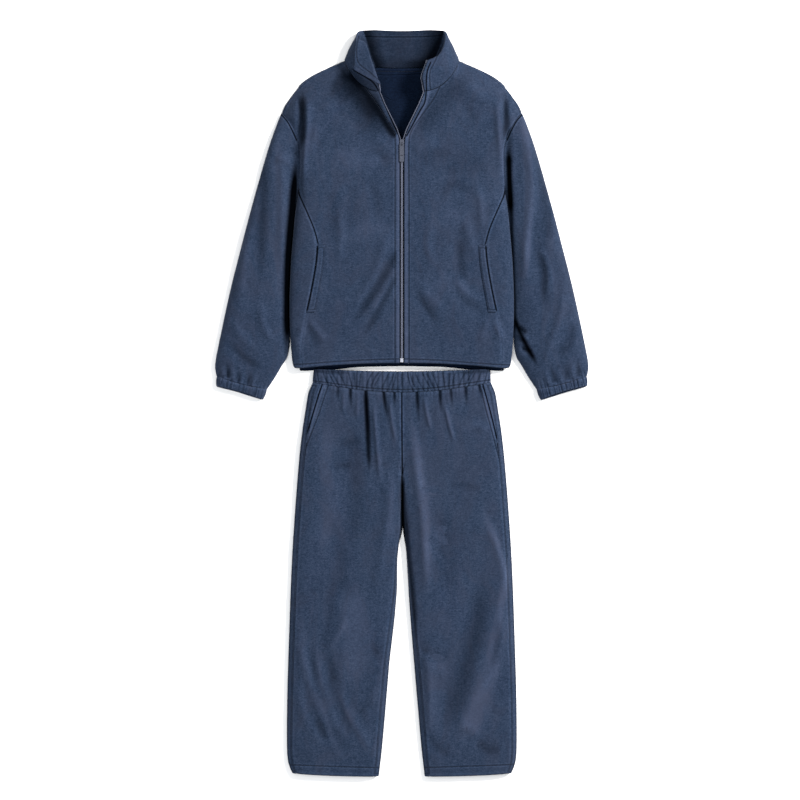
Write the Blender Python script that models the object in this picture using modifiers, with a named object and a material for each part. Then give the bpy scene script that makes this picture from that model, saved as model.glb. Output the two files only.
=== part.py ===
"""Pajama set laid flat: a stand-collar zip jacket above wide trousers.

The frame is the set as it lies: X to the right, Y towards the collar, Z up from the
surface. Sizes in the tables are millimetres and become metres when a mesh is made.
Both garments are described on their right half (+X) and mirrored by side.
"""
import math

import bpy
import bmesh
import numpy as np
from mathutils import Matrix

MM = 0.001
LEFT, RIGHT = -1, 1
SIDES = (("left", LEFT), ("right", RIGHT))

# Cloth
WALL = 2.5              # brushed fleece
BAND_WALL = 3.0         # doubled cloth round the elastic
COLLAR_WALL = 4.0       # outer and inner collar together
SEAM = 0.3              # gap between two pieces at a seam
TRIM = SEAM / 2

# Zip
TAPE_WALL = 0.9
TAPE_CLEAR = 0.8        # between a tape and the cloth over it
TAPE_LAP = 9.0          # how far a tape runs under its front
TAPE_LIP = 3.9          # how far it stands out past the edge
COLLAR_TAPE = (5.0, 1.5)    # lap and clearance on the collar
JOIN_STEPS = 4          # steps of the tape over the neck seam
TEETH_HALF = 3.0
TEETH_HIGH = 1.9

# Corner quality of every section
CORNER_POINTS = 9
RUN_POINTS = 33
TURN_WEIGHT = 16.0      # millimetres of run that one radian of turn is worth

# Half width of the jacket's body up to the armpit, with the height of its side fold
BODY_SIDE = (
    # up, half width, fold height, top height
    (70.0, 229.0, 10.0, 19.0),
    (80.0, 234.5, 11.0, 20.0),
    (110.0, 237.5, 11.5, 22.0),
    (158.0, 240.5, 12.0, 24.0),
    (214.0, 242.0, 12.0, 25.5),
    (296.0, 239.5, 12.0, 27.0),
    (358.0, 234.5, 11.0, 28.0),
    (405.0, 230.0, 9.0, 28.0),
    (440.0, 225.5, 7.5, 27.5),
    (454.7, 222.5, 7.0, 27.0),
)
BODY_ROUND = 34.0       # reach of the side fold's rounding
BODY_UNDER = 12.0       # how far the underside seam lies in from the fold
SIDE_CLEAR = 1.0        # between the body's side and the sleeve beside it

# Seam between the front and the side panel, from the hem through the pocket to the armpit
FRONT_SEAM = (
    # up, half width
    (70.0, 213.0),
    (115.0, 217.0),
    (158.0, 211.0),
    (198.9, 203.8),
    (263.4, 190.3),
    (302.0, 183.5),
    (343.0, 179.5),
    (375.0, 188.5),
    (407.4, 202.0),
    (444.0, 218.5),
    (454.7, 221.8),
)

# Edge of each front along the zip, from below the slider up the open neck
ZIP_EDGE = (
    # up, half width
    (556.0, 5.0),
    (566.5, 5.4),
    (579.0, 8.5),
    (596.6, 15.5),
    (623.5, 29.0),
    (650.4, 42.0),
    (669.7, 49.5),
)

# Rows of a front panel, from the hem up to the neck
FRONT_ROWS = (
    # up at the outer seam, up at the zip, top height, lift of the zip edge
    (76.5, 87.0, 20.0, 0.0),
    (115.0, 118.0, 22.0, 0.0),
    (158.0, 158.0, 24.0, 0.0),
    (198.9, 199.0, 25.0, 0.0),
    (263.4, 263.0, 26.0, 0.0),
    (343.0, 343.0, 27.5, 0.0),
    (407.4, 402.0, 28.0, 0.0),
    (454.7, 452.0, 27.5, 0.0),
    (500.0, 500.0, 27.0, 0.0),
    (540.0, 545.0, 26.0, 0.0),
    (572.0, 580.0, 25.5, 0.5),
    (603.5, 624.0, 25.0, 4.0),
    (624.6, 669.7, 25.0, 9.0),
)
ARMPIT_ROW = 7          # the row that starts at the armpit; those above start on the armhole
FRONT_ROW_COUNT = 22
FRONT_COLUMNS = (0.0, 0.045, 0.09, 0.17, 0.27, 0.38, 0.5, 0.62, 0.7, 0.78, 0.86, 0.94, 1.0)
NECK_COLUMN = 7         # the column that ends at the neck point of the shoulder
EDGE_REACH = 15.0       # width of the lifted band beside the open zip
HEM_DIP = -3.0          # how far the hem bows down between its corners

# Armhole: the seam between body and sleeve, from the shoulder point to the armpit
ARMHOLE = (
    # x, y
    (259.0, 624.6),
    (240.0, 603.5),
    (229.0, 583.7),
    (219.5, 557.9),
    (218.2, 519.2),
    (220.4, 480.5),
    (222.5, 454.7),
)
ARMHOLE_PLACES = (0.88, 0.76, 0.66, 0.57, 0.49, 0.42, 0.35, 0.28, 0.2, 0.1, 0.0)
ARMHOLE_CLEAR = 0.5     # the sleeve's head starts this far outside the line
ARMHOLE_HEIGHT = 17.0
ARMHOLE_ROUND = 32.0
SHOULDER_HEIGHT = WALL + SEAM       # the front's shoulder edge stands on the back's
SHOULDER_ROUND = 42.0

# Shoulder seam from the shoulder point to the neck, then the neck seam to the zip
SHOULDER = (
    # x, y
    (259.0, 624.6),
    (252.5, 637.0),
    (237.6, 661.1),
    (219.3, 686.9),
    (180.6, 712.7),
    (150.0, 727.0),
    (124.7, 738.5),
)
NECK_SEAM = (
    # x, y
    (124.7, 738.5),
    (110.7, 710.5),
    (92.5, 688.0),
    (71.0, 674.5),
    (49.5, 669.7),
)
BACK_NECK = (
    # x, y
    (124.7, 738.5),
    (104.0, 729.0),
    (72.0, 724.5),
    (36.0, 722.0),
    (0.0, 721.5),
)
BACK_HEM = (
    # x, y
    (0.0, 79.5),
    (113.0, 78.5),
    (143.6, 75.6),
    (190.0, 75.4),
    (221.0, 73.0),
)

WELT_ENDS = (196.5, 339.5)      # up the front seam, along the pocket opening
WELT_CLEAR = 0.45
WELT_WALL = 1.6

# Sleeve rows, from the armhole down to the cuff seam
SLEEVE_ROWS = (
    # outer x, outer y, inner x, inner y, top height, inner fold height
    (259.0, 624.6, 222.5, 454.7, 17.0, 7.0),
    (270.5, 597.0, 227.0, 432.0, 19.0, 6.0),
    (284.9, 557.9, 231.0, 400.0, 21.0, 5.0),
    (305.0, 489.0, 236.5, 345.0, 21.5, 5.0),
    (329.0, 403.1, 241.0, 285.0, 21.5, 5.0),
    (349.0, 325.0, 243.2, 232.0, 21.5, 5.0),
    (368.7, 248.3, 243.0, 185.0, 22.0, 5.0),
    (386.5, 166.0, 241.5, 140.0, 22.5, 5.0),
    (398.0, 110.7, 244.0, 104.3, 22.5, 6.0),
    (402.5, 84.0, 255.9, 86.0, 21.0, 6.0),
    (401.5, 70.0, 272.0, 57.0, 18.0, 6.0),
    (397.8, 59.1, 290.4, 31.2, 14.5, 6.0),
)
SLEEVE_ROW_COUNT = 18
SLEEVE_COLUMNS = 22
CUFF_ROWS = (
    # outer x, outer y, inner x, inner y, bow of the line, top height
    (397.8, 58.6, 290.7, 30.6, 4.0, 15.5),
    (400.0, 49.5, 293.0, 20.0, 0.0, 17.5),
    (398.6, 39.5, 299.0, 9.5, -5.0, 15.0),
)
CUFF_RIBS = 12
CUFF_RIB_HIGH = 1.3

# Trousers: half rows from the waistband seam down to the hem
PANTS_ROWS = (
    # down y, outer x, inner x, top height, pocket or outseam inset, inseam inset
    (24.7, 197.0, 0.0, 19.0, 24.0, 0.0),
    (7.5, 203.2, 0.0, 20.0, 22.5, 0.0),
    (-18.3, 207.5, 0.0, 21.0, 18.5, 0.0),
    (-52.7, 213.9, 0.0, 21.5, 14.5, 0.0),
    (-87.0, 218.2, 0.0, 21.5, 13.6, 0.0),
    (-120.0, 221.7, 0.0, 21.5, 11.6, 0.0),
    (-155.9, 224.7, 0.0, 21.5, 11.5, 0.0),
    (-192.4, 227.5, 0.0, 21.5, 11.5, 0.0),
    (-201.0, 228.0, 0.3, 21.5, 11.5, 0.2),
    (-250.0, 231.5, 3.9, 21.0, 11.5, 0.8),
    (-327.9, 236.5, 9.7, 21.0, 11.5, 3.0),
    (-409.6, 240.3, 15.0, 21.0, 11.5, 7.0),
    (-500.0, 243.0, 21.5, 21.0, 11.5, 10.0),
    (-616.0, 247.2, 31.2, 20.5, 11.5, 12.5),
    (-740.7, 248.3, 41.9, 19.0, 10.5, 11.0),
    (-775.0, 246.2, 46.2, 17.5, 10.0, 10.0),
    (-802.5, 236.0, 49.5, 15.5, 9.5, 10.0),
)
CROTCH_ROW = 8          # first row of two separate legs
PANTS_ROW_STEPS = (1, 1, 1, 1, 1, 1, 1, 1, 1, 2, 1, 1, 1, 1, 1, 1)
FRONT_PANEL_COLUMNS = 19
BACK_PANEL_COLUMNS = 12
LEG_ROUND = 34.0
LEG_FOLD = 7.0          # height of the outer fold's widest line
LEG_UNDER = 7.0
CROTCH_DROP = 95.0      # length over which the front seam sinks into the crotch
CROTCH_ROUND = 15.0     # reach of the inner fold's rounding where the legs part
CROTCH_FOLD = 3.3       # height of the inner fold where the legs part
FOLD_OPENS = 110.0      # length over which the inner fold grows to full size
FACING_END = -88.0      # where the pocket opening runs into the outseam
OUTSEAM_INSET = 11.5
HEM_SLOPE = 7.0         # the hem is this much shorter at its outer end
WAIST_SEAM = (
    # half width, up
    (0.0, 23.7),
    (68.8, 26.9),
    (133.3, 35.5),
    (200.0, 46.0),
)

# Waistband, from its seam up to its top edge; columns across half the width
WAISTBAND_ROWS = (
    # half width, up in the middle, share of the seam's climb, top height
    (191.5, 24.1, 1.0, 17.5),
    (191.0, 46.0, 0.68, 19.0),
    (189.0, 68.6, 0.25, 15.5),
)
WAIST_RIBS = 35
WAIST_RIB_HIGH = 1.3
WAIST_COLUMNS = 124
WAIST_UNDER = 6.0

# Soft folds of the trouser fronts below the waistband
WAIST_FOLDS = (
    # half width at the top, drift outwards at the end, length, width, height
    (20.0, 2.0, 60.0, 8.0, 1.6),
    (45.0, 4.0, 110.0, 9.0, 2.0),
    (74.0, 6.0, 165.0, 10.0, 2.6),
    (106.0, 8.0, 90.0, 9.0, 2.2),
    (138.0, 10.0, 70.0, 9.0, 1.8),
)
# Long soft creases: start, end, width and height, on the half given by side
CREASES = (
    # side, x0, y0, x1, y1, width, height
    (LEFT, 60.0, 130.0, 190.0, 250.0, 20.0, 2.0),
    (RIGHT, 50.0, 150.0, 200.0, 300.0, 22.0, 2.0),
    (RIGHT, 60.0, 420.0, 190.0, 500.0, 24.0, -2.0),
    (LEFT, 50.0, 440.0, 200.0, 560.0, 24.0, -1.8),
    (LEFT, 290.0, 430.0, 345.0, 230.0, 18.0, 2.2),
    (RIGHT, 300.0, 400.0, 350.0, 220.0, 18.0, 2.2),
    (LEFT, 70.0, -470.0, 200.0, -560.0, 22.0, 2.0),
    (RIGHT, 60.0, -500.0, 190.0, -600.0, 22.0, 2.0),
    (LEFT, 90.0, -640.0, 190.0, -720.0, 18.0, -1.6),
    (RIGHT, 80.0, -660.0, 180.0, -760.0, 18.0, 1.6),
)

# Collar stations: the lower edge, the turn of the cloth and the top edge
COLLAR_STEP = 0.6       # the lower edge sits this much above the fronts' mid wall
COLLAR_CLEAR = 2.0      # the lower edge starts this far past the neck seam
COLLAR_LEFT = (
    # along the neck seam, turn x, turn y, turn z, top x, top y, top z
    (1.00, -51.5, 690.0, 45.0, -101.5, 719.5, 38.0),
    (0.72, -58.7, 721.3, 46.0, -100.6, 738.5, 39.5),
    (0.40, -69.4, 751.4, 42.0, -99.1, 760.0, 36.5),
    (0.18, -80.0, 775.0, 33.0, -96.8, 780.5, 31.0),
)
COLLAR_RIGHT = (
    # along the neck seam, turn x, turn y, turn z, top x, top y, top z
    (1.00, 43.5, 702.0, 42.0, 56.5, 738.0, 41.0),
    (0.72, 67.0, 711.0, 42.0, 70.5, 741.0, 41.0),
    (0.40, 91.0, 727.0, 36.0, 84.5, 752.0, 38.0),
    (0.18, 103.0, 745.0, 27.0, 92.5, 777.0, 31.0),
)
COLLAR_FOLD = (
    # base x, base y, base z, turn x, turn y, turn z, top x, top y, top z
    (123.0, 741.5, 9.0, 110.0, 768.0, 12.5, 94.0, 796.5, 17.0),
)
COLLAR_BACK = (
    # base x, base y, base z, turn x, turn y, turn z, top x, top y, top z
    (110.0, 733.6, 2.3, 98.5, 766.0, 2.6, 82.0, 800.5, 6.0),
    (72.0, 726.3, 2.2, 66.0, 763.0, 2.4, 57.0, 801.8, 5.0),
    (36.0, 723.8, 2.2, 35.0, 761.0, 2.4, 33.0, 800.3, 5.0),
)
COLLAR_MIDDLE = (0.0, 723.3, 2.2, 0.0, 760.0, 2.4, 0.0, 799.5, 5.0)
COLLAR_COLUMNS = 27
COLLAR_ROWS = 8

# Zip slider and pull tab
SLIDER_TOP = 566.5      # where the chain opens
SLIDER_LONG = 13.0
SLIDER_WIDE = 9.0
PLATE_WALL = 1.3
POST_HALF = 0.75
POST_AHEAD = 1.2
CHAIN_TOP = SLIDER_TOP - 2.2
BAIL_MIDDLE = 558.2
BAIL_REACH = 2.3        # from the middle of the bail to the middle of its legs
BAIL_RISE = 1.55        # from the plate to the pull's axis
BAIL_WIRE = 0.75        # radius
PULL_LONG = 39.0        # from the axis to the tab's lower end
PULL_WIDE = 9.4
PULL_WALL = 1.5
PULL_BAR = 1.6
PULL_EYE_LONG = 4.4
PULL_EYE_WIDE = 4.6
PULL_SLOT_DOWN = 24.5
STOP_TOP = 97.5
STOP_LONG = 9.0


def clear_scene():
    """Start from an empty scene."""
    for old in list(bpy.data.objects):
        bpy.data.objects.remove(old, do_unlink=True)


def material(name, colour, roughness, metallic=0.0):
    """One plain Principled finish."""
    made = bpy.data.materials.new(name)
    made.use_nodes = True
    shader = made.node_tree.nodes["Principled BSDF"]
    shader.inputs["Base Color"].default_value = (*colour, 1.0)
    shader.inputs["Roughness"].default_value = roughness
    shader.inputs["Metallic"].default_value = metallic
    return made


def ease(value):
    """Smooth step from 0 to 1."""
    value = min(max(value, 0.0), 1.0)
    return value * value * (3.0 - 2.0 * value)


def quarter(value):
    """Height of a quarter circle, 0 at its foot and 1 from one reach inwards."""
    rest = 1.0 - min(max(value, 0.0), 1.0)
    return math.sqrt(1.0 - rest * rest)


def smooth_table(rows):
    """Read a table at any key between its rows, on a curve that never overshoots."""
    data = np.array(rows, dtype=float)
    keys, values = data[:, 0], data[:, 1:]
    steps = np.diff(keys)[:, None]
    secants = np.diff(values, axis=0) / steps
    slopes = np.zeros_like(values)
    slopes[0], slopes[-1] = secants[0], secants[-1]
    product = secants[:-1] * secants[1:]
    total = np.where(product > 0, secants[:-1] + secants[1:], 1.0)
    slopes[1:-1] = np.where(product > 0, 2.0 * product / total, 0.0)

    def read(key):
        key = min(max(key, keys[0]), keys[-1])
        row = min(int(np.searchsorted(keys, key, side="right")) - 1, len(keys) - 2)
        span = keys[row + 1] - keys[row]
        t = (key - keys[row]) / span
        rise = t * t * (3.0 - 2.0 * t)
        start = values[row] * (1.0 - rise) + values[row + 1] * rise
        bend = t * (1.0 - t) * ((1.0 - t) * slopes[row] - t * slopes[row + 1]) * span
        return start + bend

    return read


def path_reader(points):
    """Read a path by the share of its length, from 0 to 1."""
    points = np.array(points, dtype=float)
    lengths = np.concatenate([[0.0], np.cumsum(np.linalg.norm(np.diff(points, axis=0), axis=1))])
    return smooth_table(np.column_stack([lengths / lengths[-1], points]))


def row_reader(rows):
    """Read a table of rows by a number from 0 to 1, the rows evenly spaced."""
    shares = np.linspace(0.0, 1.0, len(rows))
    return smooth_table(np.column_stack([shares, np.array(rows, dtype=float)]))


body_side = smooth_table(BODY_SIDE)
front_seam = smooth_table(FRONT_SEAM)
armhole = path_reader(ARMHOLE)
shoulder = path_reader(SHOULDER)
neck_seam = path_reader(NECK_SEAM)
back_neck = path_reader(BACK_NECK)
waist_seam = smooth_table(WAIST_SEAM)
zip_edge = smooth_table(ZIP_EDGE)
back_hem = smooth_table(BACK_HEM)


def distance_to(path, place):
    """Distance from a place to a path of points, with the unit vector away from it."""
    best, away = 1e9, np.array([0.0, 1.0])
    for start, end in zip(path[:-1], path[1:]):
        along = end - start
        share = np.dot(place - start, along) / np.dot(along, along)
        offset = place - (start + along * min(max(share, 0.0), 1.0))
        length = float(np.linalg.norm(offset))
        if length < best:
            best = length
            away = offset / length if length > 1e-6 else away
    return best, away


def crease_lift(side, x, y):
    """Height that the long creases add at a place; x is the distance from the middle."""
    lift = 0.0
    for row_side, x0, y0, x1, y1, width, height in CREASES:
        if row_side != side:
            continue
        along = np.array([x1 - x0, y1 - y0])
        length = np.linalg.norm(along)
        offset = np.array([x - x0, y - y0])
        share = np.dot(offset, along) / length ** 2
        across = (offset[0] * along[1] - offset[1] * along[0]) / length
        ends = ease(share / 0.3) * ease((1.0 - share) / 0.3)
        lift += height * ends * math.exp(-(across / width) ** 2)
    return lift


def waist_fold_lift(x, y):
    """Height that the folds under the waistband add."""
    lift = 0.0
    for start, drift, length, width, height in WAIST_FOLDS:
        down = (waist_seam(x)[0] - y) / length
        if down < 1.0:
            across = x - start - drift * max(down, 0.0)
            lift += height * ease(1.0 - down) * math.exp(-(across / width) ** 2)
    return lift


def wall_object(name, outer, inner, finish, ring=False):
    """Closed cloth wall between an outer and an inner grid of points in millimetres."""
    outer, inner = np.array(outer), np.array(inner)
    rows, columns = outer.shape[:2]
    points = np.concatenate([outer.reshape(-1, 3), inner.reshape(-1, 3)]) * MM
    skin = rows * columns
    spans = columns if ring else columns - 1

    def at(row, column):
        return row * columns + column % columns

    faces = []
    for row in range(rows - 1):
        for column in range(spans):
            quad = [at(row, column), at(row, column + 1), at(row + 1, column + 1), at(row + 1, column)]
            faces.append(quad)
            faces.append([skin + corner for corner in reversed(quad)])
    for row in (0, rows - 1):
        for column in range(spans):
            a, b = at(row, column), at(row, column + 1)
            faces.append([a, b, skin + b, skin + a])
    if not ring:
        for column in (0, columns - 1):
            for row in range(rows - 1):
                a, b = at(row, column), at(row + 1, column)
                faces.append([a, b, skin + b, skin + a])
    return mesh_object(name, points.tolist(), faces, finish)


def mesh_object(name, points, faces, finish):
    """An object with its faces turned outwards and shaded smooth."""
    mesh = bpy.data.meshes.new(name)
    mesh.from_pydata(points, [], faces)
    shape = bmesh.new()
    shape.from_mesh(mesh)
    bmesh.ops.recalc_face_normals(shape, faces=shape.faces)
    shape.to_mesh(mesh)
    shape.free()
    mesh.shade_smooth()
    mesh.set_sharp_from_angle(angle=math.radians(50))
    mesh.materials.append(finish)
    made = bpy.data.objects.new(name, mesh)
    set_collection.objects.link(made)
    return made


def section(width, top, near, far=None, drop=0.0, wall=WALL):
    """Section of a laid tube, from the far end's floor under and over to its top.

    Points are (distance from the near edge, height), outer and inner in pairs. near and
    far are (upper round, lower round, fold height). With far and a drop under 1 the top
    ends part of the way down the far corner; with a drop of 1 and a lower round the ring
    closes. Returns the outer points, the inner points, the index of the near fold's
    widest point and that of the far one's.
    """
    round_up, round_low, fold = near
    far_up, far_low, far_fold = far if far else (0.0, 0.0, 0.0)
    room = width - 1.0
    if round_up + far_up > room:
        scale = room / (round_up + far_up)
        round_up, far_up = round_up * scale, far_up * scale
    closed = far is not None and drop >= 1.0 and far_low > 0.0
    turn = np.linspace(0.0, math.pi / 2, CORNER_POINTS)
    low_in = max(round_low, wall + 0.4)
    up_in = max(round_up, wall + 0.4)
    outer, inner = [], []

    floor_end = width - far_low if closed else width
    floor_end_in = width - max(far_low, wall + 0.4) if closed else width
    outer += [(s, 0.0) for s in np.linspace(floor_end, round_low, RUN_POINTS)]
    inner += [(s, wall) for s in np.linspace(floor_end_in, low_in, RUN_POINTS)]
    for angle in turn[1:]:
        outer.append((round_low * (1.0 - math.sin(angle)), fold * (1.0 - math.cos(angle))))
        height = wall + (fold - wall) * (1.0 - math.cos(angle))
        inner.append((wall + (low_in - wall) * (1.0 - math.sin(angle)), height))
    near_at = len(outer) - 1
    for angle in turn[1:]:
        outer.append((round_up * (1.0 - math.cos(angle)), fold + (top - fold) * math.sin(angle)))
        height = fold + (top - wall - fold) * math.sin(angle)
        inner.append((wall + (up_in - wall) * (1.0 - math.cos(angle)), height))
    end_reach = math.sin(drop * math.pi / 2)
    run_end = width - far_up * end_reach
    outer += [(s, top) for s in np.linspace(round_up, run_end, RUN_POINTS)[1:]]
    inner += [(s, top - wall) for s in np.linspace(up_in, run_end, RUN_POINTS)[1:]]
    if far and drop > 0.0:
        for angle in (math.pi / 2 - drop * turn)[1:]:
            along = width - far_up * (end_reach - math.cos(angle))
            outer.append((along, far_fold + (top - far_fold) * math.sin(angle)))
            height = far_fold + (top - wall - far_fold) * math.sin(angle)
            inner.append((along - wall * math.cos(angle), height))
    far_at = len(outer) - 1
    if closed:
        far_low_in = max(far_low, wall + 0.4)
        for angle in turn[::-1][1:]:
            shift = 1.0 - math.sin(angle)
            outer.append((width - far_low * shift, far_fold * (1.0 - math.cos(angle))))
            height = wall + (far_fold - wall) * (1.0 - math.cos(angle))
            inner.append((width - wall - (far_low_in - wall) * shift, height))
    return np.array(outer), np.array(inner), near_at, far_at


def run_length(points):
    """Length along a row of points."""
    return np.concatenate([[0.0], np.cumsum(np.linalg.norm(np.diff(points, axis=0), axis=1))])


def top_mark(cut_of, inset):
    """Length along a section where its upper half is this far in from the near edge."""
    outer, _, near_at, far_at = cut_of
    lengths = run_length(outer)
    return float(np.interp(inset, outer[near_at:far_at + 1, 0], lengths[near_at:far_at + 1]))


def under_mark(cut_of, inset):
    """Length along a section where its underside is this far in from the near edge."""
    outer, _, near_at, _ = cut_of
    lengths = run_length(outer)
    return float(np.interp(inset, outer[:near_at + 1, 0][::-1], lengths[:near_at + 1][::-1]))


def cut_columns(cut_of, start, stop, columns, top_weight=1.0, ring=False):
    """Points of a section between two lengths, closer together where it turns."""
    outer, inner, near_at, far_at = cut_of
    lengths = run_length(outer)
    pieces = np.diff(outer, axis=0)
    headings = np.unwrap(np.arctan2(pieces[:, 1], pieces[:, 0]))
    turns = np.abs(np.diff(headings, prepend=headings[0]))
    weights = np.linalg.norm(pieces, axis=1) + TURN_WEIGHT * turns
    weights[near_at:far_at] *= top_weight
    measure = np.concatenate([[0.0], np.cumsum(weights)])
    first, last = np.interp([start, stop], lengths, measure)
    marks = np.linspace(first, last, columns + (1 if ring else 0))
    marks = marks[:columns]
    read = [np.interp(marks, measure, column) for column in (*outer.T, *inner.T)]
    return np.column_stack(read[:2]), np.column_stack(read[2:])


def lay_row(points, width, near, far, side, bow=0.0, lift=None, wall=WALL):
    """Place section points between two plan points, bowed sideways, with added lift."""
    near, far = np.array(near[:2], dtype=float), np.array(far[:2], dtype=float)
    along = far - near
    normal = np.array([-along[1], along[0]]) / np.linalg.norm(along)
    placed = []
    for across, height in points:
        share = across / width
        plan = near + along * share + normal * bow * 4.0 * share * (1.0 - share)
        if lift:
            height += lift(plan[0], plan[1]) * ease((height - 2.0 * wall) / (2.0 * wall))
        placed.append((side * plan[0], plan[1], height))
    return placed


class FrontPanel:
    """Points of one jacket front, from side seam, armhole and hem to zip and neck."""

    def __init__(self, side):
        self.side = side
        self.read_row = row_reader(FRONT_ROWS)
        self.shares = np.linspace(0.0, 1.0, FRONT_ROW_COUNT)
        self.shoulder_points = np.array([shoulder(t) for t in np.linspace(0, 1, 40)])
        top = [shoulder(t) for t in np.array(FRONT_COLUMNS[:NECK_COLUMN + 1])
               / FRONT_COLUMNS[NECK_COLUMN]]
        rest = np.array(FRONT_COLUMNS[NECK_COLUMN + 1:]) - FRONT_COLUMNS[NECK_COLUMN]
        top += [neck_seam(t) for t in rest / (1.0 - FRONT_COLUMNS[NECK_COLUMN])]
        self.top_points = np.array(top)
        self.outer, self.inner = self.grids()

    def ends(self, row):
        """Plan points at a row's outer seam and at the zip, and the heights of the row."""
        share = self.shares[row]
        outer_y, zip_y, high, lift = self.read_row(share)
        armpit = ARMPIT_ROW / (len(FRONT_ROWS) - 1)
        if share <= armpit:
            start = np.array([front_seam(outer_y)[0], outer_y])
        else:
            start = np.array(armhole((1.0 - share) / (1.0 - armpit)))
        return start, np.array([zip_edge(zip_y)[0], zip_y]), high, lift

    def plan(self, row, column):
        """Plan point of a grid place and the heights of its row."""
        share = self.shares[row]
        start, end, high, lift = self.ends(row)
        across = FRONT_COLUMNS[column]
        place = start + (end - start) * across
        top_chord = self.top_points[0] + (self.top_points[-1] - self.top_points[0]) * across
        place = place + (self.top_points[column] - top_chord) * share ** 3.2
        place[1] -= HEM_DIP * 4.0 * across * (1.0 - across) * (1.0 - share) ** 12
        return place, start, high, lift

    def heights(self, row, column):
        """Outer and inner point of a grid place."""
        place, start, high, lift = self.plan(row, column)
        share = self.shares[row]
        below = start[1] <= BODY_SIDE[-1][0]
        if below:
            half, fold, _ = body_side(start[1])
            inset = half - start[0]
            base, base_in, reach, stand = fold, fold, BODY_ROUND, 1.0
        else:
            inset, reach = 0.0, ARMHOLE_ROUND
            near_pit = quarter(np.linalg.norm(start - np.array(ARMHOLE[-1])) / ARMHOLE_ROUND)
            base = SLEEVE_ROWS[0][5] + (ARMHOLE_HEIGHT - SLEEVE_ROWS[0][5]) * near_pit
            stand = 1.0 - ease((start[1] - BODY_SIDE[-1][0]) / 25.0)
            base_in = base - WALL * (1.0 - stand)
        in_by = inset + np.linalg.norm(place - start)
        rise = quarter(in_by / reach)
        outer_row = base + (high - base) * rise
        inner_row = base_in + (high - WALL - base_in) * rise
        to_shoulder, away = distance_to(self.shoulder_points, place)
        drop = quarter(to_shoulder / SHOULDER_ROUND)
        to_zip = np.linalg.norm(place - self.ends(row)[1])
        extra = lift * math.exp(-(to_zip / EDGE_REACH) ** 2)
        extra += crease_lift(self.side, place[0], place[1]) * rise
        outer_z = SHOULDER_HEIGHT + (outer_row - SHOULDER_HEIGHT) * drop + extra * drop
        inner_z = SHOULDER_HEIGHT + (inner_row - SHOULDER_HEIGHT) * drop + extra * drop
        shift = np.array([-1.0, 0.0]) * WALL * stand * max(1.0 - in_by / reach, 0.0)
        if to_shoulder < SHOULDER_ROUND:
            shift = shift + away * WALL * (1.0 - to_shoulder / SHOULDER_ROUND)
        return place, place + shift, outer_z, inner_z

    def trimmed(self, place, row, column):
        """Keep half a seam gap inside the panel's own edges."""
        place = place.copy()
        if column == 0:
            place[0] -= TRIM
        return place

    def side_heights(self):
        """Places up the front's side seam, from the hem to just below the armpit."""
        last = BODY_SIDE[-1][0] - SEAM
        return [y for y in self.outer[:, 0, 1] if y < last] + [last]

    def grids(self):
        """The panel's outer and inner points, row by row."""
        outer, inner = [], []
        for row in range(FRONT_ROW_COUNT):
            outer_row, inner_row = [], []
            for column in range(len(FRONT_COLUMNS)):
                place, place_in, outer_z, inner_z = self.heights(row, column)
                place = self.trimmed(place, row, column)
                place_in = self.trimmed(place_in, row, column)
                outer_row.append((self.side * place[0], place[1], outer_z))
                inner_row.append((self.side * place_in[0], place_in[1], inner_z))
            outer.append(outer_row)
            inner.append(inner_row)
        return np.array(outer), np.array(inner)


def body_section(up):
    """Half section of the jacket's body at a height below the armpit."""
    half, fold, top = body_side(up)
    return section(half, top, (BODY_ROUND, BODY_UNDER, fold)), half


def make_side(label, panel, finish):
    """Side panel: from the front seam round the side fold to the underside seam."""
    side = panel.side
    outer, inner = [], []
    for up in panel.side_heights():
        ring, half = body_section(up)
        start = under_mark(ring, BODY_UNDER + 2.0) + TRIM
        stop = top_mark(ring, half - front_seam(up)[0]) - TRIM
        cut_outer, cut_inner = cut_columns(ring, start, stop, 8)

        def lift(x, y):
            return crease_lift(side, x, y)

        outer.append(lay_row(cut_outer, half, (half, up), (0.0, up), side, lift=lift))
        inner.append(lay_row(cut_inner, half, (half, up), (0.0, up), side, lift=lift))
    return wall_object("jacket_side_" + label, outer, inner, finish)


def back_edge_points(heights):
    """Outline of half the back, from the hem's side corner to the shoulder point."""
    edge = []
    for up in heights:
        half = body_side(up)[0] - BODY_UNDER - 2.0 - TRIM
        edge.append((half, max(up, back_hem(half)[0])))
    for share in ARMHOLE_PLACES:
        x, y = armhole(share)
        edge.append((x - TRIM - 1.2 * ease((share - 0.7) / 0.3), y))
    return edge


def make_back(heights, finish):
    """Back: one flat piece on the surface, hem to back neck, armhole to armhole."""
    edge = back_edge_points(heights)
    shares = (1.0, 0.86, 0.7, 0.5, 0.28, 0.0)
    last = len(edge) - 1
    top = []
    for share in shares:
        if share >= 0.7:
            x, y = shoulder((1.0 - share) / 0.3)
        else:
            x, y = back_neck(1.0 - share / 0.7)
        top.append((x, y))
    hem = [(edge[0][0] * share, back_hem(edge[0][0] * share)[0]) for share in shares]
    rows = []
    for index, (x, y) in enumerate(edge):
        up = index / last
        half_row = []
        for column, share in enumerate(shares):
            place = np.array([x * share, y])
            top_chord = np.array([top[0][0] * share, top[0][1]])
            hem_chord = np.array([hem[0][0] * share, hem[0][1]])
            place = place + (np.array(top[column]) - top_chord) * up ** 4
            place = place + (np.array(hem[column]) - hem_chord) * (1.0 - up) ** 6
            half_row.append(place)
        rows.append([(-x, y) for x, y in half_row] + [(x, y) for x, y in reversed(half_row[:-1])])
    outer = [[(x, y, WALL) for x, y in row] for row in rows]
    inner = [[(x, y, 0.0) for x, y in row] for row in rows]
    return wall_object("jacket_back", outer, inner, finish)


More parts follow.
